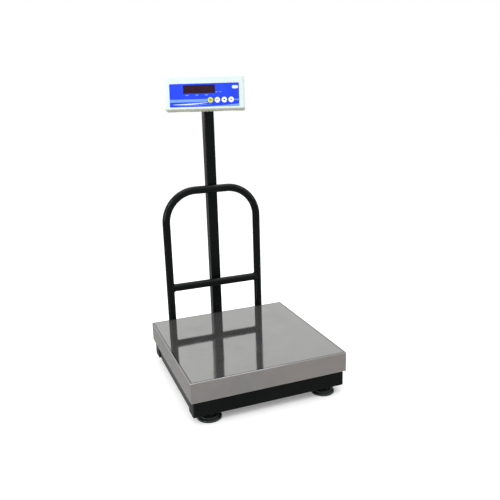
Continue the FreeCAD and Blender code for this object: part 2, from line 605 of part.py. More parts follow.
def shell(back, front, wall, rounded_at):
    """Half of the housing: a box between two depths in front of the pivot, rounded at one end."""
    body = new_body("Shell")
    drawing = new_sketch(body, "Y", back)
    rectangle(drawing, "case_width", "case_height")
    pad(body, drawing, f"({front}) - ({back})")
    plane = -size_of(rounded_at)
    fillet(body, "case_corner",
           lambda e: runs(e, Vector(0, 1, 0)) or abs(e.CenterOfMass.y - plane) < 1e-6)
    forward = rounded_at == back
    inside = new_sketch(body, "Y", f"{back} + {wall}" if forward else back)
    rectangle(inside, "case_width - 2 * case_wall", "case_height - 2 * case_wall")
    pocket(body, inside, f"({front}) - ({back}) - {wall}", forward=True)
    return body


def window_hole(depth):
    """Clearance for the display window, from before the face to a depth behind it."""
    half_wide, half_tall = "(window_width + window_fit) / 2", "(window_height + window_fit) / 2"
    return box(f"window_u - {half_wide}", f"window_u + {half_wide}", "-case_front - 1",
               f"{depth} - case_front", f"window_w - {half_tall}", f"window_w + {half_tall}")


def switch_box(half_u, half_w, v0, v1):
    """Box about the power switch's centre line, between two depths."""
    return box(f"switch_u - ({half_u})", f"switch_u + ({half_u})", v0, v1, f"switch_w - ({half_w})",
               f"switch_w + ({half_w})")


def housing():
    posts = [post(u, w) for u, w in post_places()]
    behind = "-case_back - case_wall - 1"
    gland = rod("gland_hole", "case_wall + 2", 0, behind, "gland_w", "Y")
    jack = rod("inlet_hole", "case_wall + 2", "inlet_u", behind, "inlet_w", "Y")
    slot = switch_box("switch_width / 2 - switch_fit", "switch_height / 2 - switch_fit", behind,
                      "1 - case_back")
    rear = fuse(shell("case_back", "case_split", "case_wall", "case_back"), *[boss for boss, _ in posts])
    keep_on(HEAD, cut(rear, gland, jack, slot, *[hole for _, hole in posts]), "rear_case")

    body = shell("case_split", "case_front", "face_wall", "case_front")
    recess = new_sketch(body, "Y", "case_front")
    rectangle(recess, "overlay_width + overlay_fit", "overlay_height + overlay_fit", 0, "overlay_w")
    pocket(body, recess, "overlay_sunk")
    bosses = [rod("post_radius", "case_front - face_wall / 2 - case_split", u,
                  "face_wall / 2 - case_front", w, "Y") for u, w in post_places()]
    thread = "case_front - face_wall - case_split + 1"
    tapped = [rod("post_thread", thread, u, "face_wall - case_front", w, "Y") for u, w in post_places()]
    keys = [rod("key_hole", "face_wall + 2", u, "-case_front - 1", "key_w", "Y") for u in key_places()]
    keep_on(HEAD, cut(fuse(body, *bosses), window_hole("face_wall + 1"), *tapped, *keys), "front_bezel")

    shank = "case_split - case_back + case_screw_deep"
    screws = [fuse(rod("case_screw", shank, u, "-case_split - case_screw_deep", w, "Y"),
                   rod("case_screw_head", "case_screw_head_tall", u, "-case_back", w, "Y"))
              for u, w in post_places()]
    keep_on(HEAD, group(*screws), "case_screws")


def key_places():
    return [f"key_u + {n} * key_pitch" for n in range(4)]


def face():
    """Printed membrane, display window, keys and the boards behind them."""
    low, high = "overlay_w - overlay_height / 2", "overlay_w + overlay_height / 2"
    front = "overlay_sunk - overlay_thick - case_front"
    film = box("-overlay_width / 2", "overlay_width / 2", front, "overlay_sunk - case_front", low, high)
    holes = [rod("key_hole", "2", u, "-case_front - 1", "key_w", "Y") for u in key_places()]
    keep_on(HEAD, cut(film, window_hole("1"), *holes), "overlay")
    window = box("window_u - window_width / 2", "window_u + window_width / 2", front,
                 "face_wall - case_front", "window_w - window_height / 2", "window_w + window_height / 2")
    keep_on(HEAD, window, "display_window")

    for name, u in zip(("zero", "tare", "mode", "total"), key_places()):
        cap = rod("key_radius", "key_proud + key_shaft", u, "-case_front - key_proud", "key_w", "Y")
        rim = rod("key_flange", "key_flange_tall", u, "face_wall + behind_face - case_front", "key_w", "Y")
        keep_on(HEAD, fuse(cap, rim), f"key_{name}")

    board = box("board_left", "board_right", "-board_front", "board_thick - board_front", "board_low",
                "board_high")
    switches = [box(f"{u} - contact", f"{u} + contact", "-board_front - contact_tall", "-board_front",
                    "key_w - contact", "key_w + contact") for u in key_places()]
    keep_on(HEAD, fuse(board, *switches), "main_board")
    module = box("window_u - window_width / 2 + module_inset", "window_u + window_width / 2 - module_inset",
                 "face_wall + behind_face - case_front", "-board_front", "window_w - module_half",
                 "window_w + module_half")
    keep_on(HEAD, module, "led_module")
    buzzer = rod("buzzer_radius", "buzzer_tall", "buzzer_u", "board_thick - board_front", "buzzer_w", "Y")
    keep_on(HEAD, buzzer, "buzzer")
    keep_on(HEAD, box("battery_left", "battery_right", "-battery_front", "-battery_back", "battery_low",
                      "battery_high"), "battery")


def back_panel():
    """Cable gland, power inlet and rocker switch on the back of the housing."""
    inside = "-case_back - case_wall"
    gland = fuse(rod("gland_radius", "case_wall + 1", 0, inside, "gland_w", "Y"),
                 hexagon("gland_nut", "gland_nut_tall", 0, "1 - case_back", "gland_w", "Y"),
                 rod("gland_flange", "gland_flange_tall", 0, f"{inside} - gland_flange_tall", "gland_w", "Y"))
    bore = rod("cable_radius + 0.1", "30", 0, "-case_back - 20", "gland_w", "Y")
    keep_on(HEAD, cut(gland, bore), "cable_gland")

    inlet = fuse(rod("inlet_radius", "inlet_deep", "inlet_u", "1 - case_back - inlet_deep", "inlet_w", "Y"),
                 rod("inlet_flange", "inlet_flange_tall", "inlet_u", "-case_back", "inlet_w", "Y"))
    bottom = "2 - case_back - inlet_bore_deep"
    hole = rod("inlet_bore", "inlet_bore_deep", "inlet_u", f"{bottom} + 1", "inlet_w", "Y")
    pin = rod("inlet_pin", "inlet_bore_deep - 1", "inlet_u", bottom, "inlet_w", "Y")
    keep_on(HEAD, fuse(cut(inlet, hole), pin), "power_inlet")
    power_switch()


def power_switch():
    """Snap-in frame and a rocker that tips on two pins; the rocker is drawn level, then tipped."""
    lip = switch_box("switch_width / 2 + switch_lip", "switch_height / 2 + switch_lip", "-case_back",
                     "switch_lip_tall - case_back")
    deep = switch_box("switch_width / 2 - switch_lip", "switch_height / 2 - switch_lip",
                      "-case_back - switch_deep", "-case_back")
    room = switch_box("rocker_width / 2 + rocker_gap", "rocker_height / 2 + 1.5 * rocker_gap",
                      "-case_back - rocker_room", "switch_lip_tall + 1 - case_back")
    hinge_v = "-rocker_hinge - case_back"
    ends = "(rocker_width + 2 * rocker_pin_long)"
    bore = rod("rocker_pin_bore", f"{ends} + 0.6", f"switch_u - {ends} / 2 - 0.3", hinge_v, "switch_w", "X")
    keep_on(HEAD, cut(fuse(lip, deep), room, bore), "switch_frame")

    body = new_body("Rocker")
    drawing = new_sketch(body, "X", "switch_u - rocker_width / 2")
    top, tip = "rocker_height / 2 - 0.3", "2.4 - case_back"
    polygon(drawing, [(f"{hinge_v} - 1", "switch_w - 3"), (f"{hinge_v} - 1", "switch_w + 3"),
                      ("0.6 - case_back", f"switch_w + {top}"), (tip, f"switch_w + {top}"),
                      ("1.2 - case_back", "switch_w"), (tip, f"switch_w - ({top})"),
                      ("0.6 - case_back", f"switch_w - ({top})")])
    pad(body, drawing, "rocker_width")
    pins = rod("rocker_pin", ends, f"switch_u - {ends} / 2", hinge_v, "switch_w", "X")
    hinge = Vector(0, -size_of("rocker_hinge") - size_of("case_back"), size_of("switch_w"))
    tipped = Placement(Vector(), Rotation(Vector(1, 0, 0), ROCKER_TILT), hinge)
    keep_on(HEAD * tipped, fuse(body, pins), "power_rocker")


# ---------------------------------------------------------------- cable

def tube_along(points, radii, radius):
    """Round cable through points, each inner corner rounded to its own radius."""
    edges, start = [], points[0]
    for before, corner, after, bend in zip(points, points[1:], points[2:], radii):
        arrive, leave = (corner - before).normalize(), (after - corner).normalize()
        turn = arrive.getAngle(leave)
        reach = bend * math.tan(turn / 2)
        first, last = corner - arrive * reach, corner + leave * reach
        inward = (leave - arrive).normalize()
        centre = corner + inward * (bend / math.cos(turn / 2))
        edges += [Part.LineSegment(start, first).toShape(),
                  Part.Arc(first, centre - inward * bend, last).toShape()]
        start = last
    edges.append(Part.LineSegment(start, points[-1]).toShape())
    path = Part.Wire(edges)
    ring = Part.Wire([Part.Circle(points[0], points[1] - points[0], radius).toShape()])
    solid = path.makePipeShell([ring], True, False)
    filled = solid.Volume / (math.pi * radius ** 2 * path.Length)
    print(f"cable {path.Length:.1f} mm long, volume {filled:.4f} of section times length")
    return solid


def cables():
    """Load cell cable, held by the beam, rear rail and pole, and the short lead to the indicator."""
    pan_y, x, pole_x = size_of("pan_y"), size_of("cable_x"), size_of("pole_x")
    pole_y, high, low = pan_y + size_of("pole_back"), size_of("cell_cable_height"), size_of("cable_low")
    inside_rail = pan_y + (size_of("frame_depth") - size_of("tube")) / 2
    mouth = size_of("pole_top") + size_of("pole_cap") + 3
    route = [Vector(size_of("cell_width") / 2, pan_y - 30, high), Vector(x, pan_y - 30, high),
             Vector(x, pan_y + 96, high), Vector(x, pan_y + 128, low), Vector(x, inside_rail, low),
             Vector(pole_x, inside_rail, low), Vector(pole_x, pole_y, low), Vector(pole_x, pole_y, mouth)]
    cable = doc.addObject("Part::Feature", "CellCable")
    cable.Shape = tube_along(route, (13, 25, 25, 12, 12, 11), size_of("cable_radius"))
    keep(cable, "cell_cable")

    gland = HEAD.multVec(Vector(0, 6.2 - size_of("case_back"), size_of("gland_w"))) - PIVOT
    gland = SWIVEL.Rotation.inverted().multVec(gland)
    start = Vector(0, 0, mouth - size_of("tilt_height"))
    lead = doc.addObject("Part::Feature", "HeadLead")
    lead.Shape = tube_along([start, Vector(0, 0, gland.z), gland], (9,), size_of("cable_radius"))
    keep_on(SWIVEL, lead, "head_lead")


# ---------------------------------------------------------------- build and write

def write_parts():
    doc.recompute()
    failed = [o.Label for o in doc.Objects if {"Invalid", "Error"} & set(o.State)]
    failed += [o.Label for o in SUB_PARTS if o.Shape.isNull() or not o.Shape.isValid() or not o.Shape.Solids]
    if failed:
        raise RuntimeError(f"these objects failed: {failed}")
    os.makedirs("parts", exist_ok=True)
    for thing in SUB_PARTS:
        thing.Shape.exportStep(f"parts/{thing.Label}.step")
    print(f"{len(SUB_PARTS)} sub-parts, {sum(len(o.Shape.Solids) for o in SUB_PARTS)} solids")


for build in (base_frame, feet, load_cell, pan, guard_rail, pole, yoke, tilt_bracket, housing, face,
              back_panel, cables):
    build()
write_parts()
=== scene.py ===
"""Looks of a platform shipping scale: its steel pan, its painted stand and its indicator head.

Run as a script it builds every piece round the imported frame; its panel in the 3D view lists the same steps.
Metres, +Z up, X to the right and Y away from the user.
"""

import json
import math
from contextlib import contextmanager

import bmesh
import bpy
from mathutils import Matrix, Vector


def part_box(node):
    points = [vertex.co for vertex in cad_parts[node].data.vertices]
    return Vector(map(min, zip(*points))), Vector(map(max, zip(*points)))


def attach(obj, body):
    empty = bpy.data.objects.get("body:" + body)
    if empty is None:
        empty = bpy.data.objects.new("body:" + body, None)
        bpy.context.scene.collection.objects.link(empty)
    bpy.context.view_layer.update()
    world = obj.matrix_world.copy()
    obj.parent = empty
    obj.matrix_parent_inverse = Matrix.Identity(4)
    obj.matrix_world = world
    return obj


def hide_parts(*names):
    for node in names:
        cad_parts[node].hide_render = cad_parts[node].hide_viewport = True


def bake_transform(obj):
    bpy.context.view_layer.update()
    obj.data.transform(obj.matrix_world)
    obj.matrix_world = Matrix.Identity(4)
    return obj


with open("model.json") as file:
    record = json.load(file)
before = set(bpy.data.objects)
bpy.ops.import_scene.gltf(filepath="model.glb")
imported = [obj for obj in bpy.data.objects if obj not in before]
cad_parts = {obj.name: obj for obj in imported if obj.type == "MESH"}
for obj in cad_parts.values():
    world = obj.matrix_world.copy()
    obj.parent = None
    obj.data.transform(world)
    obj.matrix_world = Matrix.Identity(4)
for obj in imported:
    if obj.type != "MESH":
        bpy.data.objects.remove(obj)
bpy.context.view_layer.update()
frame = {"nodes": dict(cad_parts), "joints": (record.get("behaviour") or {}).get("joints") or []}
NODES = frame["nodes"]
JOINTS = {joint["name"]: joint for joint in frame["joints"]}

bl_info = {
    "name": "Platform Scale",
    "version": (1, 0, 0),
    "blender": (4, 5, 0),
    "location": "3D View > Sidebar > Scale",
    "description": "Builds the visible pieces of a platform scale round its packed frame",
    "category": "Object",
}

MM = 0.001
X, Y, Z = Vector((1, 0, 0)), Vector((0, 1, 0)), Vector((0, 0, 1))
CORNERS = ("front_left", "front_right", "rear_left", "rear_right")
KEYS = ("zero", "tare", "mode", "total")
WHOLE_TURN = 2 * math.pi


def head_axes():
    """The indicator's own axes: X across the face, Y into it, Z up it, from the tilt pivot."""
    across = Vector(JOINTS["head_tilt"]["axis"]).normalized()
    into = Vector(JOINTS["key_zero_press"]["axis"]).normalized()
    axes = Matrix((across, into, across.cross(into))).transposed().to_4x4()
    axes.translation = Vector(JOINTS["head_tilt"]["pos_m"])
    return axes


HEAD = head_axes()


# ---------------------------------------------------------------- settings

def length(name, description, default):
    return bpy.props.FloatProperty(name=name, description=description, default=default, unit="LENGTH",
                                   precision=5)


def colour(name, description, *default):
    return bpy.props.FloatVectorProperty(name=name, description=description, default=default,
                                         subtype="COLOR", min=0, max=1)


class ScaleSizes(bpy.types.PropertyGroup):
    """Sizes that the looks add to the frame."""
    pan_edge: length("Pan edge", "Outside radius of the pan's folds", 0.0025)
    pan_wall: length("Pan sheet", "Thickness of the pan's sheet", 0.0012)
    seam_inset: length("Seam inset", "Distance of a skirt seam from its corner", 0.0125)
    seam_gap: length("Seam gap", "Width and depth of a skirt seam", 0.0005)
    rail_bend: length("Rail bend", "Radius of the guard rail's bends along its middle", 0.088)
    rail_wall: length("Rail wall", "Wall of the guard rail's tube", 0.0016)
    weld: length("Weld size", "Radius of a weld bead", 0.0017)
    stud_pitch: length("Stud pitch", "Thread pitch of the levelling studs", 0.00175)
    stop_pitch: length("Stop pitch", "Thread pitch of the overload screws", 0.00125)
    soft_edge: length("Broken edge", "Bevel on the edges of machined and cut parts", 0.0004)
    case_corner: length("Case corner", "Outside radius of the housing", 0.005)
    case_wall: length("Case wall", "Wall of the rear shell", 0.0025)
    face_wall: length("Face wall", "Wall of the front frame", 0.003)
    parting: length("Parting line", "Chamfer on each side of the line between the housing's halves", 0.0005)
    film_corner: length("Film corner", "Corner radius of the printed film", 0.002)
    ink: length("Ink", "Thickness of a printed area", 0.00008)
    digit_pitch: length("Digit pitch", "Distance between two digits of the display", 0.0126)
    digit_height: length("Digit height", "Height of a digit", 0.0142)


class ScaleColours(bpy.types.PropertyGroup):
    """Base colours of the finishes."""
    paint: colour("Paint", "Black powder coat", 0.0036, 0.0050, 0.0045)
    steel: colour("Pan top", "Polished stainless sheet", 0.345, 0.345, 0.34)
    skirt: colour("Pan skirt", "Stainless sheet on the sides", 0.53, 0.518, 0.508)
    zinc: colour("Zinc", "Zinc plated steel", 0.50, 0.51, 0.50)
    aluminium: colour("Aluminium", "Anodised aluminium", 0.62, 0.63, 0.64)
    rubber: colour("Rubber", "Moulded rubber", 0.016, 0.016, 0.016)
    nylon: colour("Nylon", "Black nylon of the feet", 0.012, 0.017, 0.0155)
    plastic: colour("Black plastic", "Moulded black plastic", 0.011, 0.011, 0.012)
    case: colour("Housing", "Off-white ABS", 0.66, 0.77, 0.775)
    film: colour("Film", "Blue printed film", 0.009, 0.052, 0.80)
    pale_ink: colour("Pale ink", "Light blue print", 0.17, 0.34, 0.92)
    white_ink: colour("White ink", "White print", 0.74, 0.84, 0.97)
    window: colour("Display filter", "Dark red acrylic", 0.17, 0.016, 0.085)
    digit: colour("Digits", "Unlit digit segments", 0.22, 0.09, 0.10)
    white_key: colour("White key", "White key cap", 0.84, 0.87, 0.90)
    yellow_key: colour("Yellow key", "Yellow-green key cap", 0.66, 0.70, 0.10)
    key_mark: colour("Key mark", "Dark print on a key", 0.012, 0.016, 0.05)
    board: colour("Board", "Green solder mask", 0.012, 0.11, 0.045)
    battery: colour("Battery", "Grey battery case", 0.075, 0.08, 0.085)
    jacket: colour("Cable jacket", "PVC jacket", 0.022, 0.022, 0.024)
    floor: colour("Floor", "Studio floor", 0.93, 0.93, 0.93)


def sizes():
    return bpy.context.scene.scale_sizes


def colours():
    return bpy.context.scene.scale_colours


# ---------------------------------------------------------------- shader nodes

class Nodes:
    """Short ways to add nodes to one tree."""

    def __init__(self, tree):
        self.tree = tree

    def add(self, kind, settings=None, **inputs):
        """Add a node; an input is a value or another node's output, named with _ for a space."""
        made = self.tree.nodes.new("ShaderNode" + kind)
        for name, value in (settings or {}).items():
            setattr(made, name, value)
        for name, value in inputs.items():
            self.feed(made.inputs[name.replace("_", " ")], value)
        return made

    def feed(self, socket, value):
        if isinstance(value, bpy.types.NodeSocket):
            self.tree.links.new(value, socket)
        elif socket.type == "RGBA":
            socket.default_value = (*value[:3], 1)
        else:
            socket.default_value = value

    def place(self, stretch=(1, 1, 1), turn=(0, 0, 0)):
        """Object coordinates, turned and stretched."""
        where = self.add("TexCoord").outputs["Object"]
        return self.add("Mapping", Vector=where, Scale=stretch, Rotation=turn).outputs["Vector"]

    def noise(self, scale, detail=3, vector=None, roughness=0.5, distortion=0):
        vector = vector or self.add("TexCoord").outputs["Object"]
        return self.add("TexNoise", Vector=vector, Scale=scale, Detail=detail, Roughness=roughness,
                        Distortion=distortion).outputs["Fac"]

    def remap(self, value, low, high, to_low=0, to_high=1):
        made = self.add("MapRange", Value=value, From_Min=low, From_Max=high, To_Min=to_low, To_Max=to_high)
        return made.outputs["Result"]

    def blend(self, amount, first, second, way="MIX"):
        """Mix two colours."""
        made = self.add("Mix", {"data_type": "RGBA", "blend_type": way}, Factor=amount)
        self.feed(made.inputs[6], first)
        self.feed(made.inputs[7], second)
        return made.outputs[2]

    def maths(self, operation, first, second=0.0):
        made = self.add("Math", {"operation": operation})
        self.feed(made.inputs[0], first)
        self.feed(made.inputs[1], second)
        return made.outputs[0]

    def bump(self, height, distance, strength=1.0, under=None):
        made = self.add("Bump", Height=height, Distance=distance, Strength=strength)
        if under:
            self.feed(made.inputs["Normal"], under)
        return made.outputs["Normal"]

    def effect(self, maker, output, **inputs):
        """Place a shared effect, built the first time it is asked for."""
        made = self.tree.nodes.new("ShaderNodeGroup")
        made.node_tree = bpy.data.node_groups.get(maker.__name__) or maker()
        for name, value in inputs.items():
            self.feed(made.inputs[name.replace("_", " ")], value)
        return made.outputs[output]


def new_effect(name, inputs, output):
    """Empty node group with number inputs and one number output."""
    tree = bpy.data.node_groups.new(name, "ShaderNodeTree")
    for label, default in inputs.items():
        tree.interface.new_socket(label, in_out="INPUT", socket_type="NodeSocketFloat").default_value = default
    tree.interface.new_socket(output, in_out="OUTPUT", socket_type="NodeSocketFloat")
    return Nodes(tree), tree.nodes.new("NodeGroupInput").outputs, tree.nodes.new("NodeGroupOutput").inputs


def cloudy_tone():
    """Soft blotches, from 0 to 1."""
    nodes, given, out = new_effect("cloudy_tone", {"Scale": 8}, "Tone")
    cloud = nodes.noise(given["Scale"], 5, roughness=0.6)
    nodes.feed(out["Tone"], nodes.remap(cloud, 0.3, 0.7))
    return nodes.tree


def fine_texture():
    """Moulded or sprayed surface texture as a height, with a coarser ripple under it."""
    nodes, given, out = new_effect("fine_texture", {"Scale": 800}, "Height")
    grain = nodes.noise(given["Scale"], 2)
    ripple = nodes.noise(nodes.maths("MULTIPLY", given["Scale"], 0.22), 2)
    nodes.feed(out["Height"], nodes.maths("ADD", grain, ripple))
    return nodes.tree


def settled_dust():
    """Mask of dust on what faces up, broken up by noise."""
    nodes, given, out = new_effect("settled_dust", {"Amount": 0.3}, "Mask")
    facing = nodes.add("SeparateXYZ", Vector=nodes.add("NewGeometry").outputs["Normal"]).outputs["Z"]
    up = nodes.remap(facing, 0.35, 1.0)
    patches = nodes.remap(nodes.noise(34, 6, roughness=0.7), 0.35, 0.75)
    nodes.feed(out["Mask"], nodes.maths("MULTIPLY", nodes.maths("MULTIPLY", up, patches), given["Amount"]))
    return nodes.tree


def worn_edges():
    """Mask that follows the edges, where handling has rubbed the finish."""
    nodes, given, out = new_effect("worn_edges", {"Radius": 0.0012, "Amount": 0.5}, "Mask")
    soft = nodes.add("Bevel", {"samples": 4}, Radius=given["Radius"]).outputs["Normal"]
    plain = nodes.add("NewGeometry").outputs["Normal"]
    along = nodes.add("VectorMath", {"operation": "DOT_PRODUCT"})
    nodes.feed(along.inputs[0], soft)
    nodes.feed(along.inputs[1], plain)
    edge = nodes.remap(along.outputs["Value"], 0.995, 0.90)
    patches = nodes.remap(nodes.noise(120, 4, roughness=0.7), 0.42, 0.62)
    nodes.feed(out["Mask"], nodes.maths("MULTIPLY", nodes.maths("MULTIPLY", edge, patches), given["Amount"]))
    return nodes.tree


def hairlines():
    """Mask of fine scratches that run two ways across the surface."""
    nodes, given, out = new_effect("hairlines", {"Amount": 1.0}, "Mask")
    lines = []
    for turn, stretch in ((0.5, (260, 5, 40)), (-0.9, (5, 320, 40))):
        streak = nodes.noise(1.0, 3, nodes.place(stretch, (0, 0, turn)), 0.6)
        lines.append(nodes.remap(streak, 0.66, 0.74))
    both = nodes.maths("MAXIMUM", *lines)
    nodes.feed(out["Mask"], nodes.maths("MULTIPLY", both, given["Amount"]))
    return nodes.tree


# ---------------------------------------------------------------- finishes

def new_finish(name, **fixed):
    """Material with a Principled shader whose named inputs have the given plain values."""
    material = bpy.data.materials.new(name)
    material.use_nodes = True
    material.node_tree.nodes.clear()
    nodes = Nodes(material.node_tree)
    shader = nodes.add("BsdfPrincipled", **fixed)
    nodes.add("OutputMaterial", Surface=shader.outputs["BSDF"])
    return material, nodes, shader.inputs


def shade(colour_value, factor):
    """A colour made lighter or darker."""
    return tuple(min(1, part * factor) for part in colour_value)


def moulded(name, base, rough, grain, depth, specular=0.35, dust=0.15):
    """Plain moulded plastic or rubber: uneven tone, texture, rubbed edges and a little dust."""
    material, nodes, shader = new_finish(name, Specular_IOR_Level=specular)
    tone = nodes.effect(cloudy_tone, "Tone", Scale=22)
    body = nodes.blend(tone, shade(base, 0.88), shade(base, 1.12))
    worn = nodes.blend(nodes.effect(worn_edges, "Mask", Radius=0.0008, Amount=0.35), body, shade(base, 1.9))
    mask = nodes.effect(settled_dust, "Mask", Amount=dust)
    nodes.feed(shader["Base Color"], nodes.blend(mask, worn, (0.20, 0.19, 0.17)))
    nodes.feed(shader["Roughness"], nodes.remap(tone, 0, 1, rough - 0.05, rough + 0.06))
    height = nodes.effect(fine_texture, "Height", Scale=grain)
    nodes.feed(shader["Normal"], nodes.bump(height, depth, 0.7))
    return material


def paint():
    """Black powder coat with orange peel, dust and lightly rubbed edges."""
    base = colours().paint
    material, nodes, shader = new_finish("black_powder_coat", Specular_IOR_Level=0.16)
    tone = nodes.effect(cloudy_tone, "Tone", Scale=14)
    body = nodes.blend(tone, shade(base, 0.8), shade(base, 1.3))
    worn = nodes.blend(nodes.effect(worn_edges, "Mask", Radius=0.0011, Amount=0.30), body, shade(base, 5))
    mask = nodes.effect(settled_dust, "Mask", Amount=0.10)
    nodes.feed(shader["Base Color"], nodes.blend(mask, worn, (0.16, 0.16, 0.15)))
    rough = nodes.remap(tone, 0, 1, 0.12, 0.19)
    nodes.feed(shader["Roughness"], nodes.maths("ADD", rough, nodes.maths("MULTIPLY", mask, 1.5)))
    peel = nodes.effect(fine_texture, "Height", Scale=620)
    nodes.feed(shader["Normal"], nodes.bump(peel, 0.00007, 0.8))
    return material


def sheet_steel(name, base, warm, rough_low, rough_high, stretch, ripple):
    """Stainless sheet: clouded tone, fine grain, smudges, hairlines, a slight ripple and a painted dark
    reflection line inside the top's folds.
    """
    material, nodes, shader = new_finish(name, Metallic=0.88, Specular_IOR_Level=0.5)
    tone = nodes.effect(cloudy_tone, "Tone", Scale=9)
    grain = nodes.remap(nodes.noise(1.0, 3, nodes.place(stretch), 0.6), 0.25, 0.75)
    body = nodes.blend(tone, shade(base, 0.88), shade(base, 1.06))
    tinted = nodes.blend(nodes.remap(nodes.noise(5, 4), 0.42, 0.70, 0, 0.85), body, warm)
    streaked = nodes.blend(nodes.remap(grain, 0, 1, 0, 0.12), tinted, shade(base, 0.72))
    lines = nodes.effect(hairlines, "Mask", Amount=0.10)
    scratched = nodes.blend(lines, streaked, shade(base, 1.35))
    # Painted reflection: a dark line just inside the folds, where the bend would mirror a dark band.
    nodes.feed(shader["Base Color"], nodes.blend(fold_line(nodes), scratched, shade(base, 0.24)))
    smudge = nodes.remap(nodes.noise(16, 5, roughness=0.7), 0.52, 0.78, 0, 0.07)
    rough = nodes.maths("ADD", nodes.remap(tone, 0, 1, rough_low, rough_high), smudge)
    nodes.feed(shader["Roughness"], nodes.maths("ADD", rough, nodes.maths("MULTIPLY", lines, 0.5)))
    waves = nodes.bump(nodes.noise(4.5, 1), ripple)
    nodes.feed(shader["Normal"], nodes.bump(grain, 0.000004, 0.6, under=waves))
    return material


def fold_line(nodes):
    """Mask of the painted dark reflection line that runs round the pan's top just inside its folds."""
    low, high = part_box("pan")
    where = nodes.add("SeparateXYZ", Vector=nodes.add("TexCoord").outputs["Object"])
    across = nodes.maths("ABSOLUTE", nodes.maths("SUBTRACT", where.outputs["X"], middle(low, high).x))
    along = nodes.maths("ABSOLUTE", nodes.maths("SUBTRACT", where.outputs["Y"], middle(low, high).y))
    reach = nodes.maths("MAXIMUM", across, along)
    edge = high.x - sizes().pan_edge
    inner = nodes.remap(reach, edge - 0.0034, edge - 0.0022)
    outer = nodes.remap(reach, edge + 0.0004, edge - 0.0006)
    return nodes.maths("MULTIPLY", inner, outer)


def steel():
    base = colours().steel
    return sheet_steel("stainless_top", base, shade(base, 0.93), 0.035, 0.075, (900, 14, 14), 0.0009)


def skirt():
    base = colours().skirt
    return sheet_steel("stainless_skirt", base, (0.56, 0.49, 0.46), 0.12, 0.24, (11, 11, 1300), 0.0012)


def plated(name, base, tint, rough):
    """Bright plated or machined metal with a faint tint and fine tooling marks."""
    material, nodes, shader = new_finish(name, Metallic=1.0)
    tone = nodes.effect(cloudy_tone, "Tone", Scale=60)
    grain = nodes.noise(1.0, 2, nodes.place((70, 70, 2400)), 0.6)
    body = nodes.blend(tone, base, tint)
    dull = nodes.blend(nodes.remap(grain, 0.35, 0.7, 0, 0.25), body, shade(base, 0.6))
    mask = nodes.effect(settled_dust, "Mask", Amount=0.2)
    nodes.feed(shader["Base Color"], nodes.blend(mask, dull, (0.25, 0.24, 0.21)))
    nodes.feed(shader["Roughness"], nodes.remap(tone, 0, 1, rough, rough + 0.14))
    nodes.feed(shader["Normal"], nodes.bump(grain, 0.00001, 0.8))
    return material


def one_colour(maker, name, setting, *values):
    """A finish that takes only a base colour from the settings and its own values."""
    return lambda: maker(name, getattr(colours(), setting), *values)


zinc = one_colour(plated, "zinc_plate", "zinc", (0.50, 0.49, 0.40), 0.24)
aluminium = one_colour(plated, "machined_aluminium", "aluminium", (0.56, 0.58, 0.61), 0.30)
rubber = one_colour(moulded, "moulded_rubber", "rubber", 0.78, 1500, 0.00005, 0.25, 0.3)
nylon = one_colour(moulded, "foot_nylon", "nylon", 0.30, 900, 0.00003, 0.45, 0.12)
plastic = one_colour(moulded, "black_plastic", "plastic", 0.42, 1700, 0.00004, 0.35, 0.12)
battery_case = one_colour(moulded, "battery_case", "battery", 0.5, 1400, 0.00005)
jacket = one_colour(moulded, "cable_jacket", "jacket", 0.48, 1100, 0.00002, 0.4, 0.1)


def case():
    """Off-white ABS with a spark-eroded texture, slightly yellowed in patches, and painted shade on faces that
    point down.
    """
    base = colours().case
    material, nodes, shader = new_finish("housing_abs", Specular_IOR_Level=0.4)
    tone = nodes.effect(cloudy_tone, "Tone", Scale=11)
    body = nodes.blend(tone, base, (base[0], base[1] * 0.985, base[2] * 0.93))
    speck = nodes.remap(nodes.noise(900, 2), 0.66, 0.80, 0, 0.12)
    specked = nodes.blend(speck, body, shade(base, 0.6))
    mask = nodes.effect(settled_dust, "Mask", Amount=0.18)
    dusty = nodes.blend(mask, specked, (0.46, 0.44, 0.38))
    # Painted shade: faces that point down are blended towards a darker beige, standing in for the shadow under
    # the housing.
    facing = nodes.add("SeparateXYZ", Vector=nodes.add("NewGeometry").outputs["Normal"]).outputs["Z"]
    under = nodes.remap(facing, -0.15, -0.6, 0, 0.9)
    nodes.feed(shader["Base Color"], nodes.blend(under, dusty, (0.33, 0.335, 0.25)))
    nodes.feed(shader["Roughness"], nodes.remap(tone, 0, 1, 0.36, 0.46))
    height = nodes.effect(fine_texture, "Height", Scale=2100)
    nodes.feed(shader["Normal"], nodes.bump(height, 0.00005, 0.6))
    return material


def printed(name, base, spread=0.08):
    """Ink under a velvet film: slightly uneven print and a fine satin texture."""
    material, nodes, shader = new_finish(name, Specular_IOR_Level=0.45, Coat_Weight=0.12, Coat_Roughness=0.12)
    tone = nodes.effect(cloudy_tone, "Tone", Scale=26)
    body = nodes.blend(tone, shade(base, 1 - spread), shade(base, 1 + spread))
    dots = nodes.remap(nodes.noise(3200, 1), 0.4, 0.6, 0, 0.10)
    nodes.feed(shader["Base Color"], nodes.blend(dots, body, shade(base, 0.8)))
    nodes.feed(shader["Roughness"], nodes.remap(tone, 0, 1, 0.26, 0.36))
    height = nodes.effect(fine_texture, "Height", Scale=3000)
    nodes.feed(shader["Normal"], nodes.bump(height, 0.00002, 0.5))
    return material


film = one_colour(printed, "blue_film", "film", 0.10)
pale_ink = one_colour(printed, "pale_ink", "pale_ink")
white_ink = one_colour(printed, "white_ink", "white_ink", 0.03)
key_mark = one_colour(printed, "key_mark", "key_mark")
white_key = one_colour(printed, "white_key", "white_key", 0.02)
yellow_key = one_colour(printed, "yellow_key", "yellow_key", 0.06)
digit = one_colour(printed, "unlit_digit", "digit")


def olive_mark():
    return printed("olive_mark", shade(colours().yellow_key, 0.42))


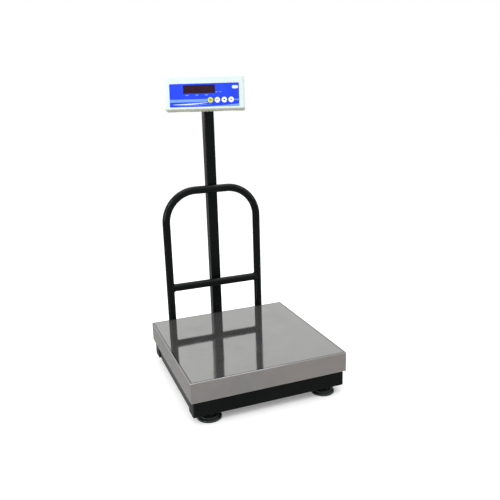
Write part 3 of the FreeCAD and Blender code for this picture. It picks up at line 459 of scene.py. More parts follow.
def window():
    """Clear dark red acrylic with hairlines and the odd smear."""
    base = colours().window
    material, nodes, shader = new_finish("display_filter", Transmission_Weight=0.88, IOR=1.49)
    tone = nodes.effect(cloudy_tone, "Tone", Scale=40)
    nodes.feed(shader["Base Color"], nodes.blend(tone, shade(base, 0.9), shade(base, 1.1)))
    lines = nodes.effect(hairlines, "Mask", Amount=0.5)
    smear = nodes.remap(tone, 0, 1, 0.02, 0.07)
    nodes.feed(shader["Roughness"], nodes.maths("ADD", smear, nodes.maths("MULTIPLY", lines, 0.2)))
    nodes.feed(shader["Normal"], nodes.bump(lines, 0.000004, 0.6))
    return material


def board():
    """Green solder mask with a maze of tracks and copper pads under it."""
    base = colours().board
    material, nodes, shader = new_finish("circuit_board", Specular_IOR_Level=0.5)
    spot = nodes.place()
    tracks = nodes.add("TexBrick", Vector=spot, Scale=160, Mortar_Size=0.06, Mortar_Smooth=0.2).outputs["Fac"]
    pads = nodes.add("TexVoronoi", Vector=spot, Scale=210).outputs["Distance"]
    dots = nodes.remap(pads, 0.20, 0.16)
    tracked = nodes.blend(tracks, base, shade(base, 2.2))
    nodes.feed(shader["Base Color"], nodes.blend(dots, tracked, (0.62, 0.60, 0.50)))
    nodes.feed(shader["Roughness"], nodes.remap(nodes.effect(cloudy_tone, "Tone", Scale=50), 0, 1, 0.25, 0.4))
    nodes.feed(shader["Normal"], nodes.bump(tracks, 0.00004, 0.8))
    return material


def studio_floor():
    material, nodes, shader = new_finish("studio_floor", Specular_IOR_Level=0.0, Emission_Strength=0.22)
    nodes.feed(shader["Emission Color"], (1, 1, 1))
    base = colours().floor
    tone = nodes.effect(cloudy_tone, "Tone", Scale=2.0)
    nodes.feed(shader["Base Color"], nodes.blend(tone, shade(base, 0.985), base))
    nodes.feed(shader["Roughness"], nodes.remap(tone, 0, 1, 0.7, 0.8))
    return material


MADE = {}


def finish(maker):
    """The material of a finish, made once."""
    if maker not in MADE:
        MADE[maker] = maker()
    return MADE[maker]


# ---------------------------------------------------------------- modelling helpers

def only(*pieces):
    """Leave just these objects selected, the first one active."""
    if bpy.context.object and bpy.context.object.mode != "OBJECT":
        bpy.ops.object.mode_set(mode="OBJECT")
    bpy.ops.object.select_all(action="DESELECT")
    for piece in pieces:
        piece.select_set(True)
    bpy.context.view_layer.objects.active = pieces[0]


@contextmanager
def editing(piece):
    """Edit one object's mesh with nothing selected at first."""
    only(piece)
    bpy.ops.object.mode_set(mode="EDIT")
    bpy.ops.mesh.select_all(action="DESELECT")
    yield
    bpy.ops.object.mode_set(mode="OBJECT")


def pick(kind, wanted):
    """Select just the FACE, EDGE or VERT parts of the edited mesh that pass a test."""
    bpy.ops.mesh.select_mode(type=kind)
    bpy.ops.mesh.select_all(action="DESELECT")
    mesh = bmesh.from_edit_mesh(bpy.context.object.data)
    for part in {"FACE": mesh.faces, "EDGE": mesh.edges, "VERT": mesh.verts}[kind]:
        if wanted(part):
            part.select_set(True)
    bmesh.update_edit_mesh(bpy.context.object.data)


def extrude(step):
    bpy.ops.mesh.extrude_region_move(TRANSFORM_OT_translate={"value": step})


def modify(piece, kind, **settings):
    """Add a modifier and apply it."""
    only(piece)
    modifier = piece.modifiers.new(kind.title(), kind)
    for name, value in settings.items():
        setattr(modifier, name, value)
    bpy.ops.object.modifier_apply(modifier=modifier.name)


def settle():
    """Move the active object's place into its mesh."""
    bpy.ops.object.transform_apply(location=True, rotation=True, scale=True)
    return bpy.context.object


def named(piece, name):
    piece.name = piece.data.name = name
    return piece


def add_box(name, low, high):
    """Box between two corners."""
    bpy.ops.mesh.primitive_cube_add(size=1, location=(low + high) / 2)
    bpy.context.object.scale = high - low
    return named(settle(), name)


def add_rod(name, radius, start, end, sides=48):
    """Cylinder between two points."""
    step = end - start
    bpy.ops.mesh.primitive_cylinder_add(
        vertices=sides, radius=radius, depth=step.length, location=(start + end) / 2,
        rotation=step.to_track_quat("Z", "Y").to_euler())
    return named(settle(), name)


def linked(name, data):
    """New object in the scene."""
    piece = bpy.data.objects.new(name, data)
    bpy.context.scene.collection.objects.link(piece)
    return piece


def from_points(name, points, edges=(), faces=()):
    """New object whose mesh has these points, edges and faces."""
    mesh = bpy.data.meshes.new(name)
    mesh.from_pydata(points, list(edges), list(faces))
    return linked(name, mesh)


def close_up():
    """Merge the doubled points of the edited mesh and turn its faces outwards."""
    bpy.ops.mesh.select_all(action="SELECT")
    bpy.ops.mesh.remove_doubles(threshold=0.00001)
    bpy.ops.mesh.normals_make_consistent(inside=False)


def moved(piece, place):
    """Move an object's mesh by a matrix."""
    only(piece)
    piece.matrix_world = place
    return settle()


def turned(name, profile, base, axis=Z, sides=64):
    """Solid turned from radius and height pairs, stood on a point along an axis."""
    points = [(radius, 0, height) for radius, height in profile]
    piece = from_points(name, points, [(n, n + 1) for n in range(len(points) - 1)])
    with editing(piece):
        bpy.ops.mesh.select_all(action="SELECT")
        bpy.ops.mesh.spin(steps=sides, angle=WHOLE_TURN, center=(0, 0, 0), axis=Z)
        close_up()
    return moved(piece, Matrix.Translation(base) @ axis.to_track_quat("Z", "Y").to_matrix().to_4x4())


def slab(name, outline, front, back):
    """Flat plate on the head's face: an outline across and up, between two depths."""
    piece = from_points(name, [(across, front, up) for across, up in outline], [], [range(len(outline))])
    modify(piece, "SOLIDIFY", thickness=back - front, offset=-1)
    return piece


def rounded(across, up, wide, tall, corner, steps=5):
    """Outline of a rectangle with round corners about a centre."""
    spots = []
    for quarter, (right, top) in enumerate(((1, -1), (1, 1), (-1, 1), (-1, -1))):
        centre = (across + right * (wide / 2 - corner), up + top * (tall / 2 - corner))
        for step in range(steps + 1):
            angle = math.pi / 2 * (quarter - 1 + step / steps)
            spots.append((centre[0] + corner * math.cos(angle), centre[1] + corner * math.sin(angle)))
    return spots


def join(name, *pieces):
    """Make several objects one."""
    only(*pieces)
    if len(pieces) > 1:
        bpy.ops.object.join()
    return named(bpy.context.object, name)


def carve(piece, *tools, operation="DIFFERENCE"):
    """Cut tools away from a piece, or keep only what they share."""
    for tool in tools:
        modify(piece, "BOOLEAN", operation=operation, object=tool, solver="EXACT")
        bpy.data.objects.remove(tool)
    return piece


def soften(piece, width, segments=2, angle=32):
    """Round every edge that is sharper than an angle."""
    modify(piece, "BEVEL", width=width, segments=segments, limit_method="ANGLE",
           angle_limit=math.radians(angle), use_clamp_overlap=True, miter_outer="MITER_ARC")
    return piece


def softened(name, width, node):
    """Copy of a CAD node with clean flat faces and rounded edges."""
    piece = join(name, linked(name, NODES[node].data.copy()))
    piece.data.materials.clear()
    with editing(piece):
        bpy.ops.mesh.select_all(action="SELECT")
        bpy.ops.mesh.remove_doubles(threshold=0.000002)
        bpy.ops.mesh.customdata_custom_splitnormals_clear()
        bpy.ops.mesh.dissolve_limited(angle_limit=math.radians(0.5))
    return soften(piece, width)


def refine(name, node, maker, body, width=None, angle=40):
    """Put a copy with broken edges in the place of a CAD node."""
    return dress(softened(name, width or sizes().soft_edge, node), maker, body, node, angle=angle)


def dress(piece, maker, body, *replaced, angle=40):
    """Smooth a finished piece, paint it, and hang it on its body in place of CAD nodes."""
    only(piece)
    settle()
    bpy.ops.object.shade_smooth_by_angle(angle=math.radians(angle))
    modify(piece, "WEIGHTED_NORMAL", keep_sharp=True)
    if not piece.data.materials:
        piece.data.materials.append(finish(maker))
    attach(piece, body)
    if replaced:
        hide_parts(*replaced)
    return piece


def coat(maker, *nodes):
    """Give CAD nodes that stay a better finish."""
    for node in nodes:
        materials = NODES[node].data.materials
        materials.clear()
        materials.append(finish(maker))


def head_box(name):
    """Lowest and highest corner of a CAD node along the head's axes."""
    back = HEAD.inverted()
    spots = [back @ vertex.co for vertex in NODES[name].data.vertices]
    return tuple(Vector(edge(part) for part in zip(*spots)) for edge in (min, max))


def middle(low, high):
    return (low + high) / 2


def evenly(start, end, step=0.0008):
    """Points from one place to another, about a step apart."""
    count = max(2, round((end - start).length / step))
    return [start.lerp(end, n / count) for n in range(count + 1)]


def round_line(name, kind, spots, size, steps, closed=False):
    """Curve with a round section through some points, and its only spline."""
    curve = bpy.data.curves.new(name, "CURVE")
    curve.dimensions = "3D"
    curve.bevel_depth = size
    curve.bevel_resolution = steps
    curve.use_fill_caps = not closed
    line = curve.splines.new(kind)
    line.points.add(len(spots) - 1)
    line.use_cyclic_u = closed
    for point, spot in zip(line.points, spots):
        point.co = (*spot, 1)
    return linked(name, curve), line


def meshed(piece):
    """Turn a curve into a mesh."""
    only(piece)
    bpy.ops.object.convert(target="MESH")
    return bpy.context.object


def bead(spots, size, closed=False):
    """Weld bead along closely set points: a round line that swells with each ripple."""
    piece, line = round_line("weld", "POLY", spots, size, 2, closed)
    for point in list(line.points)[::2]:
        point.radius = 0.82
    return meshed(piece)


def weld(start, end, size):
    """Straight weld bead between two points."""
    return bead(evenly(Vector(start), Vector(end)), size)


def threaded_rod(name, foot, tall, radius, pitch):
    """Rod with a rolled thread: a sawtooth edge screwed once round, then cut off square."""
    inner, low = radius - 0.61 * pitch, -pitch
    teeth = int(tall / pitch) + 3
    points = []
    for tooth in range(teeth):
        at = low + tooth * pitch
        points += [(inner, 0, at), (inner, 0, at + 0.14 * pitch), (radius, 0, at + 0.46 * pitch),
                   (radius, 0, at + 0.68 * pitch)]
    points.append((inner, 0, low + teeth * pitch))
    piece = from_points(name, points, [(n, n + 1) for n in range(len(points) - 1)])
    modify(piece, "SCREW", angle=WHOLE_TURN, screw_offset=pitch, steps=28, render_steps=28, axis="Z",
           use_smooth_shade=False)
    with editing(piece):
        bpy.ops.mesh.select_all(action="SELECT")
        bpy.ops.mesh.remove_doubles(threshold=0.00001)
        for height, way in ((0, 1), (tall, -1)):
            bpy.ops.mesh.select_all(action="SELECT")
            bpy.ops.mesh.bisect(plane_co=(0, 0, height), plane_no=(0, 0, way), use_fill=True, clear_inner=True)
        bpy.ops.mesh.select_all(action="SELECT")
        bpy.ops.mesh.normals_make_consistent(inside=False)
    return moved(piece, Matrix.Translation(foot))


def chamfered_hexagon(name, width, start, end, bore=0):
    """Nut or bolt head between two points, its corners turned off at 30 degrees."""
    tall = (end - start).length
    corner = width / math.sqrt(3)
    piece = add_rod(name, corner, start, end, 6)
    near, drop = 0.475 * width, (corner - 0.475 * width + 0.0005) * math.tan(math.radians(30))
    far = corner + 0.0005
    barrel = turned("barrel", [(0, 0), (near, 0), (far, drop), (far, tall - drop), (near, tall), (0, tall)],
                    start, end - start, 48)
    carve(piece, barrel, operation="INTERSECT")
    if bore:
        step = (end - start).normalized() * MM
        carve(piece, add_rod("bore", bore, start - step, end + step, 40))
    return piece


# ---------------------------------------------------------------- base frame and feet

def build_base_frame():
    """Finish the welded frame of square tube and add its weld beads."""
    coat(paint, "front_rail", "rear_rail", "left_rail", "right_rail")
    coat(plastic, "end_plugs")
    refine("centre_beam_tube", "centre_beam", paint, "base")
    beads, size = [], sizes().weld
    tube_corner, beam_corner = 0.004, 0.003
    for side, way in (("left", 1), ("right", -1)):
        low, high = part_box(f"{side}_rail")
        outer, inner = (low.x, high.x) if way > 0 else (high.x, low.x)
        step = way * tube_corner
        for at in (low.y, high.y):
            beads.append(weld((outer, at, low.z + tube_corner), (outer, at, high.z - tube_corner), size))
            beads.append(weld((outer + step, at, high.z), (inner - step, at, high.z), size))
    low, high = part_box("centre_beam")
    for at in (low.y, high.y):
        beads.append(weld((low.x + beam_corner, at, high.z), (high.x - beam_corner, at, high.z), size))
    dress(join("base_welds", *beads), paint, "base")


def build_feet():
    """Levelling pads on rubber soles, threaded studs and the nuts that hold them."""
    sole_top = 1.4
    for corner in CORNERS:
        low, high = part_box(f"foot_pad_{corner}")
        foot = Vector((middle(low, high).x, middle(low, high).y, 0))
        radius, tall = (high.x - low.x) / 2, high.z
        rim, top = radius / MM, tall / MM
        profile = [(0, 1.0), (rim - 2.2, 1.0), (rim - 1.8, 0.7), (rim - 0.6, 0.7),
                   (rim, 1.3), (rim, 3.7), (rim - 1.0, 5.0), (rim - 2.2, 5.6),
                   (rim - 5.5, 6.1), (rim - 6.4, 5.5), (rim - 7.2, 5.6),
                   (rim - 8.2, 8.2), (rim - 9.4, 8.9), (rim - 15.0, 9.3),
                   (rim - 16.4, top - 0.7), (rim - 17.2, top), (6.4, top),
                   (6.1, top - 0.4), (6.1, 3.0), (0, 3.0)]
        pad = turned(f"levelling_pad_{corner}", [(r * MM, h * MM) for r, h in profile], foot, sides=96)
        dress(soften(pad, 0.00045), nylon, f"foot_{corner}", f"foot_pad_{corner}", angle=55)
        sole = [(0, 0.3), (4, 0.3), (4.4, 0), (rim - 9, 0), (rim - 8.6, 0.5),
                (rim - 7.4, 0.5), (rim - 7, 0), (rim - 2.2, 0),
                (rim - 1.7, 0.4), (rim - 1.7, sole_top), (0, sole_top)]
        ring = turned(f"rubber_sole_{corner}", [(r * MM, h * MM) for r, h in sole], foot, sides=96)
        dress(ring, rubber, f"foot_{corner}")
        low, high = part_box(f"foot_stud_{corner}")
        stud = threaded_rod(f"threaded_stud_{corner}", Vector((foot.x, foot.y, low.z)), high.z - low.z,
                            (high.x - low.x) / 2, sizes().stud_pitch)
        dress(stud, zinc, f"stud_{corner}", f"foot_stud_{corner}")
    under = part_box("front_rail")[0].z
    nut_width, bore, locknut_tall, weldnut_tall, tube_wall = 0.019, 0.006, 0.006, 0.010, 0.002
    nuts = []
    for corner in CORNERS:
        at = middle(*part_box(f"foot_stud_{corner}"))
        for base, tall in ((under - locknut_tall, locknut_tall), (under + tube_wall, weldnut_tall)):
            start = Vector((at.x, at.y, base))
            nuts.append(chamfered_hexagon("nut", nut_width, start, start + Z * tall, bore))
    dress(join("levelling_nuts", *nuts), zinc, "base", "foot_nuts", angle=20)


# ---------------------------------------------------------------- load cell and what rests on it

def socket_screws(name, node, body, heads_up):
    """Cap screws of one node with a hexagon socket and a rounded head."""
    low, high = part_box(node)
    radius = (high.x - low.x) / 2
    head, shank = 0.0045, 0.004
    screws = []
    for at in (low.y + radius, high.y - radius):
        top, under = (high.z, high.z - head) if heads_up else (low.z, low.z + head)
        end = low.z if heads_up else high.z
        cap = add_rod("head", radius, Vector((0, at, under)), Vector((0, at, top)), 48)
        soften(cap, 0.0005)
        way = math.copysign(1, top - under)
        carve(cap, add_rod("socket", 0.0034, Vector((0, at, top - way * 0.0028)),
                           Vector((0, at, top + way * 0.001)), 6))
        stem = add_rod("stem", shank, Vector((0, at, under)), Vector((0, at, end)), 32)
        screws.append(join("screw", cap, stem))
    dress(join(name, *screws), zinc, body, node, angle=30)


def build_load_cell():
    """Load cell, its plates and screws, the overload stops and the live frame."""
    refine("load_cell_bar", "load_cell", aluminium, "base")
    refine("cell_foot_plate", "lower_spacer", zinc, "base")
    refine("cell_head_plate", "upper_spacer", zinc, "live_frame")
    socket_screws("cell_foot_screws", "lower_cell_bolts", "base", False)
    socket_screws("cell_head_screws", "upper_cell_bolts", "live_frame", True)
    for name in ("centre", "front", "rear"):
        refine(f"live_{name}_beam", f"live_{name}_tube", paint, "live_frame")
    beads, corner = [], 0.003
    low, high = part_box("live_centre_tube")
    for at in (low.y, high.y):
        for height in (low.z, high.z):
            beads.append(weld((low.x + corner, at, height), (high.x - corner, at, height), 0.8 * sizes().weld))
    dress(join("live_frame_welds", *beads), paint, "live_frame")
    build_pan_rests()
    build_stops()


def build_pan_rests():
    """Rubber buttons under the pan, ribbed round the edge."""
    low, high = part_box("pan_pads")
    front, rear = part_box("live_front_tube"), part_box("live_rear_tube")
    radius = middle(*front).y - low.y
    tall = high.z - low.z
    rests = []
    for at in (middle(*front).y, middle(*rear).y):
        for across in (low.x + radius, high.x - radius):
            profile = [(0, 0), (radius, 0), (radius, 0.3 * tall), (0.93 * radius, 0.38 * tall),
                       (0.93 * radius, 0.55 * tall), (radius, 0.63 * tall), (radius, 0.86 * tall),
                       (0.9 * radius, tall), (0.35 * radius, tall), (0.3 * radius, 0.8 * tall), (0, 0.8 * tall)]
            rests.append(turned("rest", profile, Vector((across, at, low.z)), sides=48))
    dress(join("pan_rests", *rests), rubber, "live_frame", "pan_pads")


def build_stops():
    """Threaded overload screws and their locknuts."""
    low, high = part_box("overload_screws")
    radius = 0.004
    screws, nuts = [], []
    nut_low, nut_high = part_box("overload_locknuts")
    for x in (low.x + radius, high.x - radius):
        for y in (low.y + radius, high.y - radius):
            screws.append(threaded_rod("stop", Vector((x, y, low.z)), high.z - low.z, radius,
                                       sizes().stop_pitch))
            nuts.append(chamfered_hexagon("nut", 0.013, Vector((x, y, nut_low.z)), Vector((x, y, nut_high.z)),
                                          radius))
    dress(join("overload_stop_screws", *screws), zinc, "base", "overload_screws")
    dress(join("overload_stop_nuts", *nuts), zinc, "base", "overload_locknuts", angle=20)


# ---------------------------------------------------------------- pan

def build_pan():
    """Folded stainless pan: polished top, duller skirt and a seam near each corner."""
    low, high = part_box("pan")
    size = sizes()
    pan = add_box("pan_sheet", low, high)
    with editing(pan):
        pick("FACE", lambda face: face.normal.z < -0.9)
        bpy.ops.mesh.delete(type="FACE")
        pick("EDGE", lambda edge: max(vertex.co.z for vertex in edge.verts) > high.z - 1e-6)
        bpy.ops.mesh.bevel(offset=size.pan_edge, segments=6, affect="EDGES")
    modify(pan, "SOLIDIFY", thickness=size.pan_wall, offset=-1, use_even_offset=True)
    with editing(pan):
        pick("EDGE", lambda edge: all(vertex.co.z < low.z + 1e-6 for vertex in edge.verts))
        bpy.ops.mesh.bevel(offset=size.pan_wall * 0.2, segments=1, affect="EDGES")
    seams = []
    for across in (low.x + size.seam_inset, high.x - size.seam_inset):
        for face, way in ((low.y, 1), (high.y, -1)):
            corner = Vector((across - size.seam_gap / 2, face - way * MM, low.z - MM))
            other = Vector((across + size.seam_gap / 2, face + way * size.seam_gap,
                            high.z - size.pan_edge))
            start = Vector(map(min, corner, other))
            seams.append(add_box("seam", start, Vector(map(max, corner, other))))
    carve(pan, *seams)
    pan.data.materials.append(finish(steel))
    pan.data.materials.append(finish(skirt))
    for face in pan.data.polygons:
        face.material_index = 0 if face.normal.z > 0.5 else 1
    dress(pan, steel, "weighing_pan", "pan")


# ---------------------------------------------------------------- guard rail and pole

def build_guard_rail():
    """Bent rail, its crossbar, the sockets that hold it and their welds."""
    low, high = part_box("guard_rail")
    size = sizes()
    radius, bend = (high.y - low.y) / 2, size.rail_bend
    left, right, top, line = low.x + radius, high.x - radius, high.z - radius, middle(low, high).y
    bpy.ops.mesh.primitive_circle_add(vertices=48, radius=radius, location=(left, line, low.z))
    rail = named(settle(), "guard_rail_tube")
    quarter = -math.pi / 2
    with editing(rail):
        bpy.ops.mesh.select_all(action="SELECT")
        extrude((0, 0, top - bend - low.z))
        bpy.ops.mesh.spin(steps=28, angle=quarter, center=(left + bend, line, top - bend), axis=Y)
        extrude((right - left - 2 * bend, 0, 0))
        bpy.ops.mesh.spin(steps=28, angle=quarter, center=(right - bend, line, top - bend), axis=Y)
        extrude((0, 0, low.z + bend - top))
        close_up()
    modify(rail, "SOLIDIFY", thickness=size.rail_wall, offset=-1, use_even_offset=True)
    dress(rail, paint, "base", "guard_rail")

    coat(paint, "crossbar")
    height = middle(*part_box("crossbar")).z
    beads = [saddle_weld(leg, way, line, height, radius) for leg, way in ((left, 1), (right, -1))]
    refine("rail_sockets", "rail_holders", paint, "base")
    low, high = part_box("rail_holders")
    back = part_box("rear_rail")[1].y
    for leg in (left, right):
        for side in (-0.010, 0.010):
            beads.append(weld((leg + side, back, low.z + 0.005), (leg + side, back, high.z - 0.006), size.weld))
    dress(join("guard_rail_welds", *beads), paint, "base")


def saddle_weld(leg, way, line, height, radius):
    """Weld where the crossbar meets a leg: a ring that rises over the leg above and below."""
    spots = []
    count = 96
    for number in range(count):
        angle = WHOLE_TURN * number / count
        out = math.hypot(radius * math.sin(angle), 0.0035)
        spots.append(Vector((leg + way * out, line + radius * math.cos(angle),
                             height + radius * math.sin(angle))))
    return bead(spots, sizes().weld, closed=True)


def build_pole():
    """Pole, its bracket and cap, the bolts that hold the stand, and the cable inside."""
    coat(paint, "pole")
    coat(jacket, "cell_cable")
    refine("pole_top_cap", "pole_cap", plastic, "base")
    refine("pole_clamp", "pole_bracket", paint, "base")
    low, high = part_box("pole_bracket")
    beads = [weld((across, low.y, low.z + MM), (across, low.y, high.z - MM), sizes().weld)
             for across in (low.x, high.x)]
    dress(join("pole_clamp_welds", *beads), paint, "base")
    build_frame_bolts()


def build_frame_bolts():
    """Hex bolts behind the pole and the rail sockets, with washers."""
    pole, clamp = middle(*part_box("pole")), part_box("pole_bracket")[1].y
    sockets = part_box("rail_holders")
    rail_low, rail_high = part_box("guard_rail")
    radius = (rail_high.y - rail_low.y) / 2
    legs = (rail_low.x + radius, rail_high.x - radius)
    pole_bolt, rail_bolt = (0.027, 0.0290), (0.037, 0.0028)
    places = [(pole.x, clamp, *pole_bolt)] + [(leg, sockets[1].y, *rail_bolt) for leg in legs]
    under_head, top = Y * 0.0010, Y * 0.0060
    bolts = []
    for across, plane, height, deep in places:
        start = Vector((across, plane, height))
        washer = add_rod("washer", 0.0085, start, start + under_head, 40)
        soften(washer, 0.0002)
        head = chamfered_hexagon("head", 0.013, start + under_head, start + top)
        stem = add_rod("stem", 0.004, start - Y * deep, start + Y * 0.0012, 32)
        bolts += [washer, head, stem]
    dress(join("stand_bolts", *bolts), zinc, "base", "frame_bolts", angle=20)


# ---------------------------------------------------------------- yoke and knob

def build_yoke():
    """Swivel yoke, tilt bracket, pivot bolts and the clamping knob."""
    edge = sizes().soft_edge
    refine("swivel_fork", "swivel_yoke", paint, "swivel")
    refine("tilt_plate", "tilt_bracket", paint, "indicator")
    refine("tilt_pins", "tilt_bolts", zinc, "indicator", 0.6 * edge, 25)
    refine("clamp_knob", "tilt_knob", plastic, "knob", 2 * edge)
    low, high = head_box("tilt_knob")
    centre = middle(low, high)
    insert = turned("knob_insert", [(0, 0), (0.0052, 0), (0.0052, 0.0004), (0.0046, 0.0009), (0.0036, 0.0009),
                                    (0.0033, 0.0005), (0, 0.0005)],
                    HEAD @ Vector((high.x - 0.0005, centre.y, centre.z)), HEAD.to_3x3() @ X, 40)
    dress(insert, zinc, "knob")


# ---------------------------------------------------------------- housing

def half_shell(name, low, high, closed, wall):
    """Box open at one end, rounded at the other and along its sides, with a wall."""
    shell = add_box(name, low, high)
    end = low.y if closed < 0 else high.y
    with editing(shell):
        pick("FACE", lambda face: face.normal.y * closed < -0.9)
        bpy.ops.mesh.delete(type="FACE")
        pick("EDGE", lambda edge: any(abs(vertex.co.y - end) < 1e-6 for vertex in edge.verts))
        bpy.ops.mesh.bevel(offset=sizes().case_corner, segments=6, affect="EDGES")
    modify(shell, "SOLIDIFY", thickness=wall, offset=-1, use_even_offset=True)
    rim = high.y if closed < 0 else low.y
    with editing(shell):
        pick("EDGE", lambda edge: all(abs(vertex.co.y - rim) < 1e-6 for vertex in edge.verts)
             and len({face.normal.y > 0.5 or face.normal.y < -0.5 for face in edge.link_faces}) == 2)
        bpy.ops.mesh.bevel(offset=sizes().parting, segments=1, affect="EDGES")
    return shell


def key_places():
    """Where each key is across and up the face."""
    places = {}
    for key in KEYS:
        spot = middle(*head_box(f"key_{key}"))
        places[key] = (spot.x, spot.z)
    return places


def key_holes(front, back):
    """Rods through the face at every key, to cut its holes."""
    return [add_rod("hole", 0.0076, Vector((across, front, up)), Vector((across, back, up)), 56)
            for across, up in key_places().values()]


def build_front_frame():
    """White front frame with a recess for the film and openings for window and keys."""
    size = sizes()
    low, high = head_box("front_bezel")
    shell = half_shell("display_front_frame", low, high, -1, size.face_wall)
    film_low, film_high = head_box("overlay")
    gap = 0.2 * MM
    wide, tall = film_high.x - film_low.x + 2 * gap, film_high.z - film_low.z + 2 * gap
    centre = middle(film_low, film_high)
    recess = slab("recess", rounded(centre.x, centre.z, wide, tall, size.film_corner), low.y - MM, film_high.y)
    window_low, window_high = head_box("display_window")
    through = low.y + size.face_wall + MM
    margin = Vector((gap, 0, gap))
    opening = add_box("opening", window_low - margin, window_high + margin)
    for vertex in opening.data.vertices:
        vertex.co.y = low.y - MM if vertex.co.y < middle(window_low, window_high).y else through
    carve(shell, recess, opening, *key_holes(low.y - MM, through))
    soften(shell, 0.00025, 2, 50)
    dress(moved(shell, HEAD), case, "indicator", "front_bezel")


def build_rear_shell():
    """White rear shell with cooling slots and the holes for what is mounted on its back."""
    size = sizes()
    low, high = head_box("rear_case")
    shell = half_shell("rear_shell", low, high, 1, size.case_wall)
    wall_in, wall_out = high.y - size.case_wall - MM, high.y + MM
    tools = []
    for node, radius in (("cable_gland", 0.0061), ("power_inlet", 0.0057)):
        spot = middle(*head_box(node))
        start, end = Vector((spot.x, wall_in, spot.z)), Vector((spot.x, wall_out, spot.z))
        tools.append(add_rod("hole", radius, start, end, 40))
    switch_low, switch_high = head_box("switch_frame")
    inset = 1.8 * MM
    tools.append(add_box("slot", Vector((switch_low.x + inset, wall_in, switch_low.z + inset)),
                         Vector((switch_high.x - inset, wall_out, switch_high.z - inset))))
    for across in (-0.062, 0.062):
        for number in range(9):
            at = across + (number - 4) * 0.0042
            tools.append(add_box("vent", Vector((at - 0.0009, low.y + 0.014, low.z - MM)),
                                 Vector((at + 0.0009, low.y + 0.034, low.z + size.case_wall + MM))))
    carve(shell, *tools)
    soften(shell, 0.00025, 2, 50)
    dress(moved(shell, HEAD), case, "indicator", "rear_case")


def build_case_screws():
    """Four domed screws with a cross recess."""
    low, high = head_box("case_screws")
    radius, tall = 0.0034, 0.002
    screws = []
    for across in (low.x + radius, high.x - radius):
        for up in (low.z + radius, high.z - radius):
            base = Vector((across, high.y - tall, up))
            profile = [(0, 0), (radius, 0), (radius, 0.35 * tall), (0.92 * radius, 0.66 * tall),
                       (0.74 * radius, 0.9 * tall), (0.45 * radius, tall), (0, tall)]
            head = turned("head", profile, base, Y, 40)
            top = Vector((across, high.y, up))
            for half in (Vector((0.0019, 0, 0.00045)), Vector((0.00045, 0, 0.0019))):
                carve(head, add_box("recess", top - half - Y * 0.0011, top + half + Y * MM))
            stem = add_rod("stem", 0.00165, Vector((across, low.y, up)), base, 20)
            screws.append(join("screw", head, stem))
    dress(moved(join("housing_screws", *screws), HEAD), zinc, "indicator", "case_screws", angle=30)


# ---------------------------------------------------------------- printed face, display and keys

def build_film():
    """Blue printed film with openings for window and keys."""
    size = sizes()
    low, high = head_box("overlay")
    centre = middle(low, high)
    sheet = slab("printed_film", rounded(centre.x, centre.z, high.x - low.x, high.z - low.z, size.film_corner),
                 low.y, high.y)
    window_low, window_high = head_box("display_window")
    gap = Vector((0.2 * MM, MM, 0.2 * MM))
    carve(sheet, add_box("opening", window_low - gap, window_high + gap), *key_holes(low.y - MM, high.y + MM))
    soften(sheet, 0.0001, 1, 50)
    dress(moved(sheet, HEAD), film, "indicator", "overlay")


def print_area(name, outline, maker, body="indicator", front=None):
    """Thin printed area on the film, or on another face at a given depth."""
    front = head_box("overlay")[0].y if front is None else front
    area = slab(name, [(across * MM, up * MM) for across, up in outline], front - sizes().ink, front + 0.00002)
    return dress(moved(area, HEAD), maker, body)


def ribbon(start, bend, end, widths, steps=26):
    """Outline of a curved band whose width changes along it."""
    lower, upper = [], []
    for number in range(steps + 1):
        t = number / steps
        across, up, wide = ((1 - t) ** 2 * a + 2 * t * (1 - t) * b + t ** 2 * c
                            for a, b, c in zip((*start, widths[0]), (*bend, widths[1]), (*end, widths[2])))
        lower.append((across, up - wide / 2))
        upper.append((across, up + wide / 2))
    return lower + upper[::-1]


def build_print():
    """Stripe, sweeps, small lamps and a blank badge printed on the film."""
    low, high = head_box("overlay")
    left, right = low.x / MM + 0.4, high.x / MM - 0.4
    places = key_places()
    first, row = (part / MM for part in places["zero"])
    last = places["total"][0] / MM
    stop, go = first - 8.6, last + 8.6
    print_area("stripe_left", rounded((left + stop) / 2, row - 0.8, stop - left, 7.4, 0.6), pale_ink)
    print_area("stripe_right", rounded((go + right) / 2, row - 0.4, right - go, 3.0, 0.6), pale_ink)
    print_area("sweep_upper", ribbon((left + 8, row - 10.0), (-38, row - 11.2), (stop + 2, row - 6.2),
                                     (0.4, 5.6, 0.4)), white_ink)
    print_area("sweep_lower", ribbon((left + 22, row - 13.6), (-20, row - 14.0), (stop + 12, row - 9.8),
                                     (0.4, 2.2, 0.3)), pale_ink)
    print_area("sweep_right", ribbon((stop - 4, row - 15.8), (50, row - 15.8), (right, row - 13.6),
                                     (0.4, 1.4, 5.2)), pale_ink)
    window_low, window_high = head_box("display_window")
    under = window_low.z / MM - 4.6
    for number, across in enumerate((-45.5, -19.5, 5.5)):
        print_area(f"lamp_{number + 1}", rounded(across, under, 8.0, 2.2, 0.9), pale_ink)
    for number, across in enumerate((window_high.x / MM + 4.5, window_high.x / MM + 14)):
        print_area(f"note_{number + 1}", rounded(across, window_low.z / MM + 2.6, 5.5, 1.8, 0.8), pale_ink)
    print_area("blank_badge", rounded(right - 10.0, high.z / MM - 11.0, 16, 8.0, 3.9), white_ink)


